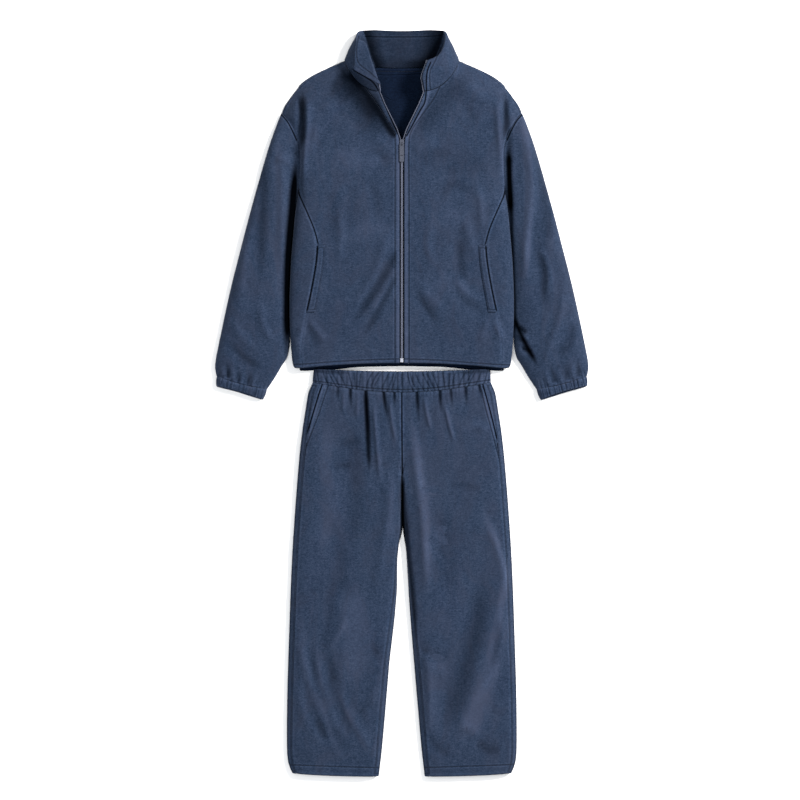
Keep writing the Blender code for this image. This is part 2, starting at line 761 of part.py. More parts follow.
def make_sleeve(label, side, finish):
    """Sleeve: one closed wrap from the armhole to the cuff, its seam under the inner fold."""
    read_row = row_reader(SLEEVE_ROWS)
    outer, inner = [], []
    for index in range(SLEEVE_ROW_COUNT):
        share = index / (SLEEVE_ROW_COUNT - 1)
        out_x, out_y, in_x, in_y, top, fold = read_row(share)
        if in_y > BODY_SIDE[0][0]:
            least = body_side(in_y)[0] + SIDE_CLEAR * ease(share * 12.0)
            in_x = max(in_x, least)
        near, far = np.array([out_x, out_y]), np.array([in_x, in_y])
        width = float(np.linalg.norm(far - near))
        inner_round = 46.0 - 14.0 * ease(1.0 - share * 8.0)
        ring = section(width, top, (30.0, 6.0, 6.0), (inner_round, 5.0, fold), drop=1.0)
        total = run_length(ring[0])[-1]
        cuts = cut_columns(ring, TRIM, total - TRIM, SLEEVE_COLUMNS)
        follow = max(1.0 - share * 7.0, 0.0) ** 2

        def lift(x, y, fade=ease(share * 6.0)):
            return crease_lift(side, x, y) * fade

        for cut, store in zip(cuts, (outer, inner)):
            placed = lay_row(cut, width, near, far, 1, lift=lift)
            row = []
            for (x, y, z), (across, _) in zip(placed, cut):
                part = across / width
                curve = armhole(part)
                chord = np.array(ARMHOLE[0]) * (1.0 - part) + np.array(ARMHOLE[-1]) * part
                x += (curve[0] - chord[0]) * follow + (ARMHOLE_CLEAR if index == 0 else 0.0)
                y += (curve[1] - chord[1]) * follow
                row.append((side * x, y, z))
            store.append(row)
    return wall_object("sleeve_" + label, outer, inner, finish)


def rib_lift(across, width, ribs, high):
    """Gathered ribs across the width, fading at the side folds."""
    share = min(max(across / width, 0.0), 1.0)
    fade = ease(share * 8.0) * ease((1.0 - share) * 8.0)
    return high * fade * math.cos(2.0 * math.pi * ribs * share)


def make_cuff(label, side, finish):
    """Gathered cuff: a closed ring, ribbed outside and plain inside."""
    outer, inner = [], []
    for out_x, out_y, in_x, in_y, bow, top in CUFF_ROWS:
        near, far = np.array([out_x, out_y]), np.array([in_x, in_y])
        width = float(np.linalg.norm(far - near))
        ring = section(width, top, (22.0, 5.5, 6.0), (22.0, 5.5, 6.0), drop=1.0, wall=BAND_WALL)
        total = run_length(ring[0])[-1]
        cuts = cut_columns(ring, 0.0, total, 48, top_weight=3.0, ring=True)
        raised = [(s, z + rib_lift(s, width, CUFF_RIBS, CUFF_RIB_HIGH) * ease((z - 8.0) / 4.0))
                  for s, z in cuts[0]]
        outer.append(lay_row(raised, width, near, far, side, bow=bow))
        inner.append(lay_row(cuts[1], width, near, far, side, bow=bow))
    return wall_object("cuff_" + label, outer, inner, finish, ring=True)


def pants_rows():
    """Row places down the trousers: table rows with extra ones between some of them."""
    places = []
    last = len(PANTS_ROWS) - 1
    for index, steps in enumerate(PANTS_ROW_STEPS):
        places += [(index + step / steps) / last for step in range(steps)]
    return places + [1.0]


def pants_section(place, read_row):
    """Section of half the trousers or of one leg, with its insets and plan ends."""
    down, out_x, in_x, top, inset, inseam = read_row(place)
    crotch = PANTS_ROWS[CROTCH_ROW][0]
    width = out_x - in_x
    near = (LEG_ROUND, LEG_UNDER, LEG_FOLD)
    legs = down <= crotch + 0.5
    if legs:
        grown = ease((crotch - down) / FOLD_OPENS)
        far = (CROTCH_ROUND + (LEG_ROUND - CROTCH_ROUND) * grown, 1.0 + (LEG_UNDER - 1.0) * grown,
               CROTCH_FOLD + (LEG_FOLD - CROTCH_FOLD) * grown)
        drop = 1.0
    else:
        sunk = ease(1.0 - (down - crotch) / CROTCH_DROP)
        far = (2.0 + (CROTCH_ROUND - 2.0) * sunk, 0.0, CROTCH_FOLD)
        drop = sunk
    ring = section(width, top, near, far if drop > 0.0 else None, drop=drop)
    return ring, width, down, out_x, in_x, inset, inseam, legs


def slope_row(points, down, share_down):
    """Shift a row's points up or down to the waist seam's curve and the hem's slope."""
    moved = []
    for x, y, z in points:
        wide = abs(x)
        waist = (waist_seam(min(wide, 200.0))[0] - PANTS_ROWS[0][0] - SEAM) * (1.0 - share_down) ** 10
        hem = HEM_SLOPE * (wide / 236.0) ** 3 * share_down ** 24
        moved.append((x, y + waist + hem, z))
    return moved


def make_pants_panels(label, side, front_finish, back_finish, facing_finish):
    """Front, back and pocket facing of one half of the trousers."""
    read_row = row_reader(PANTS_ROWS)
    panels = {"front": ([], []), "back": ([], []), "facing": ([], [])}
    for place in pants_rows():
        ring, width, down, out_x, in_x, inset, inseam, legs = pants_section(place, read_row)
        total = run_length(ring[0])[-1]
        outseam = min(OUTSEAM_INSET, inset)
        outseam_at = top_mark(ring, outseam)
        front_start = top_mark(ring, inset) + TRIM
        if legs:
            seam_at = top_mark(ring, width - max(inseam, 0.0))
            front = cut_columns(ring, front_start, seam_at - TRIM, FRONT_PANEL_COLUMNS)
            back = wrap_back(ring, seam_at + TRIM, total, outseam_at - TRIM)
        else:
            front = cut_columns(ring, front_start, total - TRIM, FRONT_PANEL_COLUMNS)
            back = cut_columns(ring, TRIM, outseam_at - TRIM, BACK_PANEL_COLUMNS)

        def lift(x, y):
            return crease_lift(side, x, y) + waist_fold_lift(x, y)

        parts = [("front", front), ("back", back)]
        if down > FACING_END:
            facing = cut_columns(ring, outseam_at + TRIM, front_start - SEAM, 3)
            parts.append(("facing", facing))
        for name, cuts in parts:
            for cut, store in zip(cuts, panels[name]):
                row = lay_row(cut, width, (out_x, down), (in_x, down), side, lift=lift)
                if not legs:
                    row = [(x + side * TRIM * (1.0 if abs(x) < TRIM else 0.0), y, z) for x, y, z in row]
                store.append(slope_row(row, down, place))
    wall_object("pants_front_" + label, *panels["front"], front_finish)
    wall_object("pants_back_" + label, *panels["back"], back_finish)
    wall_object("pocket_facing_" + label, *panels["facing"], facing_finish)


def wrap_back(ring, seam_at, total, outseam_at):
    """Columns of a leg's back panel: from the inseam under the leg to the outseam."""
    outer, inner, near_at, far_at = ring
    turned = np.concatenate([outer[far_at:-1], outer[:near_at + CORNER_POINTS + RUN_POINTS]])
    turned_in = np.concatenate([inner[far_at:-1], inner[:near_at + CORNER_POINTS + RUN_POINTS]])
    head = max(far_at - CORNER_POINTS - RUN_POINTS, near_at + 1)
    turned = np.concatenate([outer[head:far_at], turned])
    turned_in = np.concatenate([inner[head:far_at], turned_in])
    lengths = run_length(outer)
    start = seam_at - lengths[head]
    stop = (total - lengths[head]) + outseam_at
    again = (turned, turned_in, 0, 0)
    return cut_columns(again, start, stop, BACK_PANEL_COLUMNS)


def make_waistband(finish):
    """Waistband: a closed elastic ring, ribbed outside and plain inside."""
    outer, inner = [], []
    for half, middle, part, top in WAISTBAND_ROWS:
        width = 2.0 * half
        fold = (26.0, WAIST_UNDER, 6.5)
        ring = section(width, top, fold, fold, drop=1.0, wall=BAND_WALL)
        total = run_length(ring[0])[-1]
        cuts = cut_columns(ring, 0.0, total, WAIST_COLUMNS, top_weight=5.0, ring=True)
        raised = [(s, z + rib_lift(s, width, WAIST_RIBS, WAIST_RIB_HIGH) * ease((z - 9.0) / 4.0))
                  for s, z in cuts[0]]
        for cut, store in zip((raised, cuts[1]), (outer, inner)):
            row = lay_row(cut, width, (-half, middle), (half, middle), 1)
            store.append([(x, y + part * seam_climb(x), z) for x, y, z in row])
    return wall_object("waistband", outer, inner, finish, ring=True)


def seam_climb(x):
    """How far the waist seam has climbed at a distance from the middle."""
    return float(waist_seam(abs(x))[0] - waist_seam(0.0)[0])


def neck_height(panel, share):
    """Height of a front's mid wall along its neck seam."""
    columns = np.array(FRONT_COLUMNS[NECK_COLUMN:])
    shares = (columns - columns[0]) / (1.0 - columns[0])
    middle = (panel.outer[-1, NECK_COLUMN:, 2] + panel.inner[-1, NECK_COLUMN:, 2]) / 2
    return float(np.interp(share, shares, middle))


def collar_stations(panels):
    """Stations from the left zip edge round the back neck to the right zip edge."""
    stations = []
    for rows, side, label in ((COLLAR_LEFT, LEFT, "left"), (COLLAR_RIGHT, RIGHT, "right")):
        found = []
        for share, *rest in rows:
            base_z = neck_height(panels[label], share) + COLLAR_STEP
            x, y = neck_seam(share)
            turn, top = np.array(rest[:3]), np.array(rest[3:])
            away = turn[:2] - np.array([side * x, y])
            away /= np.linalg.norm(away)
            base = np.array([side * x + away[0] * COLLAR_CLEAR, y + away[1] * COLLAR_CLEAR, base_z])
            found.append((base, turn, top))
        mirror = np.array([side, 1.0, 1.0])
        for row in COLLAR_FOLD + COLLAR_BACK:
            found.append(tuple(np.array(row[start:start + 3]) * mirror for start in (0, 3, 6)))
        stations.append(found)
    middle = [tuple(np.array(COLLAR_MIDDLE[start:start + 3]) for start in (0, 3, 6))]
    return stations[0] + middle + stations[1][::-1]


def through(points, share):
    """Point at a share of a smooth curve through evenly counted points."""
    count = len(points) - 1
    place = min(max(share, 0.0), 1.0) * count
    index = min(int(place), count - 1)
    t = place - index
    before = points[max(index - 1, 0)]
    start, end = points[index], points[index + 1]
    after = points[min(index + 2, count)]
    return 0.5 * (2.0 * start + (end - before) * t
                  + (2.0 * before - 5.0 * start + 4.0 * end - after) * t * t
                  + (3.0 * start - before - 3.0 * end + after) * t ** 3)


def make_collar(panels, finish):
    """Stand collar: one doubled band, its left end folded over, its back laid flat."""
    stations = collar_stations(panels)
    columns = []
    for share in np.linspace(0.0, 1.0, COLLAR_COLUMNS):
        lines = [through([station[line] for station in stations], share) for line in range(3)]
        base, turn, top = lines
        control = [base, (base * 0.45 + turn * 0.55), turn, (turn * 0.45 + top * 0.55), top]
        columns.append([through(control, row / (COLLAR_ROWS - 1)) for row in range(COLLAR_ROWS)])
    middle = np.array(columns)
    along = np.gradient(middle, axis=0)
    up = np.gradient(middle, axis=1)
    normal = np.cross(along, up)
    normal /= np.linalg.norm(normal, axis=2)[..., None]
    outer = middle - normal * COLLAR_WALL / 2
    inner = middle + normal * COLLAR_WALL / 2
    outer[..., 2] = np.maximum(outer[..., 2], 0.0)
    inner[..., 2] = np.maximum(inner[..., 2], 0.0)
    wall_object("collar", outer, inner, finish)
    return middle, normal


def make_welt(label, panel, finish):
    """Pocket welt: a narrow strip on the front, beside the pocket opening."""
    edge = panel.outer[:, 0, 1]
    low, high = WELT_ENDS
    places = [low] + [float(y) for y in edge if low + 4.0 < y < high - 4.0] + [high]
    at = np.interp(places, edge, np.arange(len(edge)))
    block = np.array([[[np.interp(place, np.arange(len(edge)), panel.outer[:, column, axis])
                        for axis in range(3)]
                       for column in range(3)]
                      for place in at])
    lower = block + np.array([0.0, 0.0, WELT_CLEAR])
    upper = block + np.array([0.0, 0.0, WELT_CLEAR + WELT_WALL])
    return wall_object("welt_" + label, upper, lower, finish)


def strip(name, rows, finish):
    """Bar along rows of four corner points each."""
    points, faces = [], []
    for corners in rows:
        points += [tuple(np.array(corner) * MM) for corner in corners]
    count = len(rows)
    for row in range(count - 1):
        for corner in range(4):
            a = row * 4 + corner
            b = row * 4 + (corner + 1) % 4
            faces.append([a, b, b + 4, a + 4])
    faces.append([0, 1, 2, 3])
    last = (count - 1) * 4
    faces.append([last + 3, last + 2, last + 1, last])
    return mesh_object(name, points, faces, finish)


def unit(vector):
    """A vector of length one."""
    return vector / np.linalg.norm(vector)


def zip_edge_frames(panel, collar_middle, collar_normal):
    """Places along one open zip edge: underside point, its neighbour inwards, way down."""
    frames = []
    for row in range(FRONT_ROW_COUNT):
        frames.append((panel.inner[row, -1], panel.inner[row, -2], np.array([0.0, 0.0, -1.0])))
    column = 0 if panel.side == LEFT else -1
    inside = 1 if panel.side == LEFT else -2
    face = collar_middle + collar_normal * COLLAR_WALL / 2
    for row in range(COLLAR_ROWS):
        frames.append((face[column, row], face[inside, row], collar_normal[column, row]))
    join = FRONT_ROW_COUNT - 1
    steps = [frame_between(frames, join + step / JOIN_STEPS) for step in range(1, JOIN_STEPS)]
    return frames[:join + 1] + steps + frames[join + 1:]


def frame_between(frames, place):
    """Zip edge frame at a number between two whole places."""
    index = min(int(place), len(frames) - 2)
    part = place - index
    return tuple(a * (1.0 - part) + b * part for a, b in zip(frames[index], frames[index + 1]))


def make_zip_half(label, panel, frames, tape_finish, teeth_finish, metal):
    """Tape under the front's edge, the open row of teeth on its lip and the top stop."""
    tape, teeth, stop = [], [], []
    first = next(place for place, frame in enumerate(frames) if frame[0][1] > CHAIN_TOP)
    before, after = frames[first - 1][0][1], frames[first][0][1]
    start = first - 1 + (CHAIN_TOP + 2.5 - before) / (after - before)
    last = len(frames) - 1
    for place, (edge, neighbour, down) in enumerate(frames):
        inwards = neighbour - edge
        length = np.linalg.norm(inwards)
        out = -inwards / length
        lap, clear = (TAPE_LAP, TAPE_CLEAR) if place < FRONT_ROW_COUNT else COLLAR_TAPE
        inner_edge = edge + inwards * min(lap / length, 0.4) + down * clear
        lip = edge + out * TAPE_LIP + down * clear
        tape.append((inner_edge, lip, lip + down * TAPE_WALL, inner_edge + down * TAPE_WALL))
    for place in [start] + list(range(first, last)):
        teeth.append(tooth_corners(frame_between(frames, place), 2.6, TEETH_HIGH))
    for place in (last - 0.92, last - 0.1):
        stop.append(tooth_corners(frame_between(frames, place), 3.0, TEETH_HIGH + 0.6))
    strip("zip_tape_" + label, tape, tape_finish)
    strip("zip_teeth_" + label, teeth, teeth_finish)
    strip("zip_top_stop_" + label, stop, metal)


def tooth_corners(frame, wide, high):
    """Four corners of the teeth's section on a tape's lip."""
    edge, neighbour, down = frame
    out = unit(edge - neighbour)
    low = edge + out * (TAPE_LIP + 0.2 - wide) + down * (TAPE_CLEAR - SEAM)
    far = edge + out * (TAPE_LIP + 0.2) + down * (TAPE_CLEAR - SEAM)
    return low, far, far - down * high, low - down * high


def chain_floor(panel, up):
    """Height that the closed teeth stand at, at a place along the zip."""
    edge = panel.inner[:, -1]
    return float(np.interp(up, edge[:, 1], edge[:, 2])) - TAPE_CLEAR + SEAM


def make_closed_chain(panel, finish):
    """The closed teeth from the bottom stop to the slider."""
    ups = [y for y in panel.inner[:, -1, 1] if STOP_TOP + 3.0 < y < CHAIN_TOP - 3.0]
    rows = []
    for up in [STOP_TOP + SEAM] + ups + [CHAIN_TOP]:
        low = chain_floor(panel, up)
        rows.append([(-TEETH_HALF, up, low), (TEETH_HALF, up, low),
                     (TEETH_HALF, up, low + TEETH_HIGH), (-TEETH_HALF, up, low + TEETH_HIGH)])
    strip("zip_teeth_closed", [[np.array(corner) for corner in row] for row in rows], finish)


def box(name, low, high, finish=None, bevel=0.0):
    """A box between two corners in millimetres, with rounded edges if asked."""
    low, high = np.array(low) * MM, np.array(high) * MM
    bpy.ops.mesh.primitive_cube_add(size=1.0, location=tuple((low + high) / 2))
    made = bpy.context.object
    made.name = name
    made.data.name = name
    made.data.transform(scale_matrix(high - low))
    for owner in list(made.users_collection):
        owner.objects.unlink(made)
    (set_collection if finish else tool_collection).objects.link(made)
    if finish:
        made.data.materials.append(finish)
    else:
        made.hide_render = True
        made.display_type = "WIRE"
    if bevel:
        rounding = made.modifiers.new("edges", "BEVEL")
        rounding.width = bevel * MM
        rounding.segments = 2
    return made


def scale_matrix(sizes):
    """Matrix that scales by a size on each axis."""
    return Matrix.Diagonal((*sizes, 1.0))


def make_slider(panel, finish):
    """Slider: two plates joined by a post between the open teeth, with a bail on top."""
    low = chain_floor(panel, SLIDER_TOP - SLIDER_LONG)
    high = chain_floor(panel, SLIDER_TOP) + TEETH_HIGH
    top_low = max(high, low + TEETH_HIGH) + SEAM + 0.1
    under_high = min(low, high - TEETH_HIGH) - SEAM - TAPE_WALL - 0.4
    start, end = SLIDER_TOP - SLIDER_LONG, SLIDER_TOP + POST_AHEAD
    half = SLIDER_WIDE / 2
    slider = box("zip_slider", (-half, start, top_low), (half, end, top_low + PLATE_WALL),
                 finish, bevel=0.3)
    under = box("slider_under", (-half, start, under_high - PLATE_WALL), (half, end, under_high))
    post = box("slider_post", (-POST_HALF, CHAIN_TOP + SEAM, under_high - PLATE_WALL / 2),
               (POST_HALF, end - 0.3, top_low + PLATE_WALL / 2))
    plate_top = top_low + PLATE_WALL
    axis = plate_top + BAIL_RISE
    bail = make_bail(axis, plate_top)
    for part in (under, post, bail):
        join = slider.modifiers.new("join", "BOOLEAN")
        join.operation = "UNION"
        join.object = part
    return axis


def make_bail(axis, plate_top):
    """Wire arch that the pull tab hangs on."""
    curve = bpy.data.curves.new("bail", "CURVE")
    curve.dimensions = "3D"
    reach, sink = BAIL_REACH, 0.5
    crest = axis + BAIL_RISE + BAIL_WIRE
    corner = BAIL_WIRE * 1.6
    points = [(-reach, plate_top - sink), (-reach, crest - corner)]
    for step in range(1, 4):
        angle = step * math.pi / 8
        points.append((-reach + corner * (1 - math.cos(angle)), crest - corner * (1 - math.sin(angle))))
    points += [(-y, z) for y, z in reversed(points)]
    spline = curve.splines.new("POLY")
    spline.points.add(len(points) - 1)
    for target, (y, z) in zip(spline.points, points):
        target.co = (0.0, (BAIL_MIDDLE + y) * MM, z * MM, 1.0)
    curve.bevel_depth = BAIL_WIRE * MM
    curve.bevel_resolution = 1
    curve.use_fill_caps = True
    wire = bpy.data.objects.new("bail_curve", curve)
    tool_collection.objects.link(wire)
    bpy.context.view_layer.update()
    mesh = bpy.data.meshes.new_from_object(wire.evaluated_get(bpy.context.evaluated_depsgraph_get()))
    shape = bmesh.new()
    shape.from_mesh(mesh)
    bmesh.ops.remove_doubles(shape, verts=shape.verts, dist=0.00001)
    shape.to_mesh(mesh)
    shape.free()
    made = bpy.data.objects.new("slider_bail", mesh)
    made.matrix_world = wire.matrix_world
    tool_collection.objects.link(made)
    bpy.data.objects.remove(wire, do_unlink=True)
    made.hide_render = True
    made.display_type = "WIRE"
    return made


def rounded_outline(left, right, bottom, top, corner):
    """Points of a rectangle with round corners."""
    points = []
    for x, y, start in ((right - corner, top - corner, 0), (left + corner, top - corner, 1),
                        (left + corner, bottom + corner, 2), (right - corner, bottom + corner, 3)):
        for step in range(4):
            angle = (start + step / 3) * math.pi / 2
            points.append((x + corner * math.cos(angle), y + corner * math.sin(angle)))
    return points


def make_pull(axis, finish):
    """Pull tab: a flat tab with an eye for the bail and a slot, turning on its top bar."""
    curve = bpy.data.curves.new("zip_pull", "CURVE")
    curve.dimensions = "2D"
    curve.fill_mode = "BOTH"
    curve.extrude = PULL_WALL / 2 * MM
    half = PULL_WIDE / 2
    bar = PULL_BAR / 2
    outlines = (rounded_outline(-half, half, -PULL_LONG, bar, 2.0),
                rounded_outline(-PULL_EYE_WIDE / 2, PULL_EYE_WIDE / 2, -bar - PULL_EYE_LONG, -bar, 0.8),
                rounded_outline(-2.9, 2.9, -PULL_SLOT_DOWN - 1.5, -PULL_SLOT_DOWN, 0.6))
    for outline in outlines:
        spline = curve.splines.new("POLY")
        spline.points.add(len(outline) - 1)
        for target, (x, y) in zip(spline.points, outline):
            target.co = (x * MM, y * MM, 0.0, 1.0)
        spline.use_cyclic_u = True
    curve.materials.append(finish)
    made = bpy.data.objects.new("zip_pull", curve)
    made.location = (0.0, BAIL_MIDDLE * MM, axis * MM)
    set_collection.objects.link(made)


def main():
    clear_scene()
    cloth = material("fleece", (0.045, 0.075, 0.13), 0.95)
    cloth_side = material("fleece_side", (0.040, 0.068, 0.12), 0.95)
    cloth_back = material("fleece_back", (0.036, 0.062, 0.11), 0.95)
    band = material("fleece_band", (0.047, 0.078, 0.135), 0.95)
    tape = material("zip_tape", (0.03, 0.05, 0.09), 0.8)
    teeth = material("zip_teeth", (0.20, 0.22, 0.27), 0.45)
    metal = material("zip_metal", (0.35, 0.37, 0.42), 0.35, 1.0)

    panels = {}
    for label, side in SIDES:
        panel = FrontPanel(side)
        wall_object("jacket_front_" + label, panel.outer, panel.inner, cloth)
        make_side(label, panel, cloth_side)
        make_sleeve(label, side, cloth)
        make_cuff(label, side, band)
        make_welt(label, panel, band)
        make_pants_panels(label, side, cloth, cloth_back, cloth_side)
        panels[label] = panel
    make_back(panels["right"].side_heights(), cloth_back)
    make_waistband(band)
    collar_middle, collar_normal = make_collar(panels, band)
    for label, _ in SIDES:
        frames = zip_edge_frames(panels[label], collar_middle, collar_normal)
        make_zip_half(label, panels[label], frames, tape, teeth, metal)
    make_closed_chain(panels["right"], teeth)
    stop_low = chain_floor(panels["right"], STOP_TOP)
    box("zip_bottom_stop", (-TEETH_HALF - 0.4, STOP_TOP - STOP_LONG, stop_low),
        (TEETH_HALF + 0.4, STOP_TOP, stop_low + TEETH_HIGH + 0.8), metal, bevel=0.4)
    axis = make_slider(panels["right"], metal)
    make_pull(axis, metal)


set_collection = bpy.data.collections.new("pajama_set")
tool_collection = bpy.data.collections.new("pajama_set_tools")
for collection in (set_collection, tool_collection):
    bpy.context.scene.collection.children.link(collection)
main()
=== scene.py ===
# %% [markdown]
# # A fleece pajama set, laid flat
# A zip jacket with a stand collar lies above a pair of trousers, both in slate navy brushed
# fleece. This lesson dresses the plain solids of the part: each cut piece of cloth becomes a
# soft shell with rounded edges, the creases are placed one by one, and the zip gets its teeth.

# %% Load the frame
import math

import bmesh
import bpy
import numpy as np
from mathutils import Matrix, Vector
from mathutils.bvhtree import BVHTree
from mathutils.kdtree import KDTree


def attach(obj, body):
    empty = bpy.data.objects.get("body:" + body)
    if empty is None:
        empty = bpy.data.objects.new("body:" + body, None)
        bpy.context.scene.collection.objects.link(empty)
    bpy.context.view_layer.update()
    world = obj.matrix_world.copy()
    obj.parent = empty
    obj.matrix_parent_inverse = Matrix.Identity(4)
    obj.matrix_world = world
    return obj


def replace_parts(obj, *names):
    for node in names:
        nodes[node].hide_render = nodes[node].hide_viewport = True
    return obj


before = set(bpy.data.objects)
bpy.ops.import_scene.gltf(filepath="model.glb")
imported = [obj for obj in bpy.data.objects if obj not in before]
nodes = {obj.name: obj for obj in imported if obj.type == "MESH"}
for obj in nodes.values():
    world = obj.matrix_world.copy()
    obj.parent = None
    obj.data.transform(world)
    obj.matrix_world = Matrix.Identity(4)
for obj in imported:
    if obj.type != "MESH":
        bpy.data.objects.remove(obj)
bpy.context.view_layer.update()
MM = 0.001

# %% [markdown]
# ## Camera, floor and light
# The set was photographed from straight above, so the camera looks down with a long lens, far
# enough away that a 25 mm thick garment shows no side. One soft lamp at the upper right gives
# the short shadows to the lower left, and a wide, weaker one fills them.

# %% Camera over the set
PIXEL = 2.15 * MM                   # one pixel of an 800 pixel wide picture
CENTRE_X, CENTRE_Y = 401.8, 403.5   # where the part's origin lies on the photograph
VIEW_WIDE = 800 * PIXEL
CAMERA_UP = 8.0
SENSOR = 36.0


def seen(px, py):
    """Plan place, in metres, of a spot read off the photograph."""
    return ((px - CENTRE_X) * PIXEL, (CENTRE_Y - py) * PIXEL)


def on_photo(points):
    """Columns and rows on the photograph of some places."""
    return points[:, 0] / PIXEL + CENTRE_X, CENTRE_Y - points[:, 1] / PIXEL


def mirrored(line):
    """A line of photograph places on the other side of the middle."""
    return tuple((2 * CENTRE_X - x, y) for x, y in line)


camera_data = bpy.data.cameras.new("camera")
camera_data.sensor_width = SENSOR
camera_data.lens = SENSOR * CAMERA_UP / VIEW_WIDE
camera_data.clip_end = 40.0
camera = bpy.data.objects.new("camera", camera_data)
camera.location = (*seen(400, 400), CAMERA_UP + 0.02)
bpy.context.scene.collection.objects.link(camera)
bpy.context.scene.camera = camera
bpy.context.scene.view_settings.view_transform = "Standard"
print("lens", round(camera_data.lens), "mm")

# %% Floor and lamps


def add_lamp(name, place, size, watts, tint, aim=(0.0, 0.0, 0.0)):
    """A square area lamp that faces a place."""
    data = bpy.data.lights.new(name, "AREA")
    data.size = size
    data.energy = watts
    data.color = tint
    lamp = bpy.data.objects.new(name, data)
    lamp.location = place
    lamp.rotation_euler = (Vector(aim) - Vector(place)).to_track_quat("-Z", "Y").to_euler()
    bpy.context.scene.collection.objects.link(lamp)


add_lamp("key_lamp", (3.7, 2.6, 3.0), 1.1, 725.0, (1.0, 0.96, 0.94))
add_lamp("fill_lamp", (-0.8, -0.6, 3.6), 3.0, 92.0, (0.94, 0.97, 1.0))
world = bpy.data.worlds.new("studio")
world.use_nodes = True
world.node_tree.nodes["Background"].inputs["Color"].default_value = (1.0, 1.0, 1.0, 1.0)
world.node_tree.nodes["Background"].inputs["Strength"].default_value = 0.62
bpy.context.scene.world = world

bpy.ops.mesh.primitive_plane_add(size=12.0, location=(0.0, 0.0, 0.0))
floor = bpy.context.object
floor.name = "floor"
floor_paint = bpy.data.materials.new("floor_paint")
floor_paint.use_nodes = True
floor_paint.node_tree.nodes["Principled BSDF"].inputs["Base Color"].default_value = (0.85, 0.85, 0.85, 1)
floor_paint.node_tree.nodes["Principled BSDF"].inputs["Roughness"].default_value = 0.9
floor.data.materials.append(floor_paint)

# %% [markdown]
# ## Fleece as node groups
# Brushed fleece has a short nap that lies in patches where a hand has passed, in faint streaks
# down the length of the cloth, and in curls and tufts. One group makes a tone, a height and a
# greyer cast from them. A second group sinks the cloth along a stitched line, paints shade into
# its groove and a highlight on its lips, from a distance that is stored on the mesh. Only values
# leave the groups; the shader stays outside.

# %% Small helpers for node groups


def new_group(name, inputs, outputs):
    """An empty shader group with named inputs and outputs."""
    group = bpy.data.node_groups.new(name, "ShaderNodeTree")
    for label, kind, value in inputs:
        socket = group.interface.new_socket(label, in_out="INPUT", socket_type=kind)
        if value is not None:
            socket.default_value = value
    for label, kind in outputs:
        group.interface.new_socket(label, in_out="OUTPUT", socket_type=kind)
    enter = group.nodes.new("NodeGroupInput")
    leave = group.nodes.new("NodeGroupOutput")
    return group, enter, leave


def give(tree, node, inputs):
    """Link inputs of a node to sockets, or give them plain values."""
    for label, value in dict(inputs).items():
        if isinstance(value, bpy.types.NodeSocket):
            tree.links.new(value, node.inputs[label])
        else:
            node.inputs[label].default_value = value


def add_node(tree, kind, inputs=(), **settings):
    """A new node with its settings and inputs."""
    node = tree.nodes.new(kind)
    for name, value in settings.items():
        setattr(node, name, value)
    give(tree, node, inputs)
    return node


def noise(tree, vector, scale, detail=2.0, rough=0.5, warp=0.0):
    """A noise texture on a vector."""
    inputs = {"Vector": vector, "Scale": scale, "Detail": detail, "Roughness": rough, "Distortion": warp}
    return add_node(tree, "ShaderNodeTexNoise", inputs).outputs["Fac"]


def stretch(tree, vector, scale):
    """A vector scaled on each axis."""
    return add_node(tree, "ShaderNodeMapping", {"Vector": vector, "Scale": scale}).outputs["Vector"]


def calc(tree, kind, *values):
    """A math node on links or plain numbers."""
    return add_node(tree, "ShaderNodeMath", enumerate(values), operation=kind).outputs[0]


def band(tree, value, low, high, out_low=0.0, out_high=1.0):
    """A value smoothly mapped from one range to another."""
    inputs = {"Value": value, "From Min": low, "From Max": high, "To Min": out_low, "To Max": out_high}
    return add_node(tree, "ShaderNodeMapRange", inputs, interpolation_type="SMOOTHSTEP").outputs["Result"]


def mix(tree, share, first, second, kind="MIX"):
    """Two colours mixed."""
    return add_node(tree, "ShaderNodeMix", {0: share, 6: first, 7: second}, data_type="RGBA",
                    blend_type=kind).outputs[2]


def stored(tree, name):
    """A number kept on each point of the mesh."""
    return add_node(tree, "ShaderNodeAttribute", attribute_name=name).outputs["Fac"]


def new_material(name):
    """A material with its node tree, its shader and the place on the object."""
    made = bpy.data.materials.new(name)
    made.use_nodes = True
    tree = made.node_tree
    return made, tree, tree.nodes["Principled BSDF"], add_node(tree, "ShaderNodeTexCoord").outputs["Object"]


# %% The nap of brushed fleece
nap, nap_in, nap_out = new_group(
    "fleece_nap",
    [("Place", "NodeSocketVector", None)],
    [("Tone", "NodeSocketFloat"), ("Height", "NodeSocketFloat"), ("Cast", "NodeSocketFloat")])
place = nap_in.outputs["Place"]
patches = noise(nap, stretch(nap, place, (1.0, 0.5, 1.0)), 15.0, 3.0, 0.55, 0.8)
fingers = noise(nap, stretch(nap, place, (1.0, 0.42, 1.0)), 75.0, 3.0, 0.6, 1.2)
streaks = noise(nap, stretch(nap, place, (1.0, 0.16, 1.0)), 260.0, 2.0, 0.6, 0.5)
curls = noise(nap, stretch(nap, place, (0.5, 1.0, 1.0)), 330.0, 2.0, 0.65, 1.0)
tufts = noise(nap, stretch(nap, place, (0.7, 1.0, 1.0)), 520.0, 3.0, 0.75, 0.8)
tone = calc(nap, "MULTIPLY", patches, 0.20)
for part, share in ((fingers, 0.22), (streaks, 0.18), (curls, 0.80), (tufts, 0.90)):
    tone = calc(nap, "MULTIPLY_ADD", part, share, tone)
nap.links.new(calc(nap, "SUBTRACT", tone, 0.65), nap_out.inputs["Tone"])
cast = noise(nap, stretch(nap, place, (1.0, 0.5, 1.0)), 19.0, 3.0, 0.6, 1.0)
nap.links.new(band(nap, cast, 0.42, 0.66), nap_out.inputs["Cast"])
height = calc(nap, "MULTIPLY", fingers, 0.5)
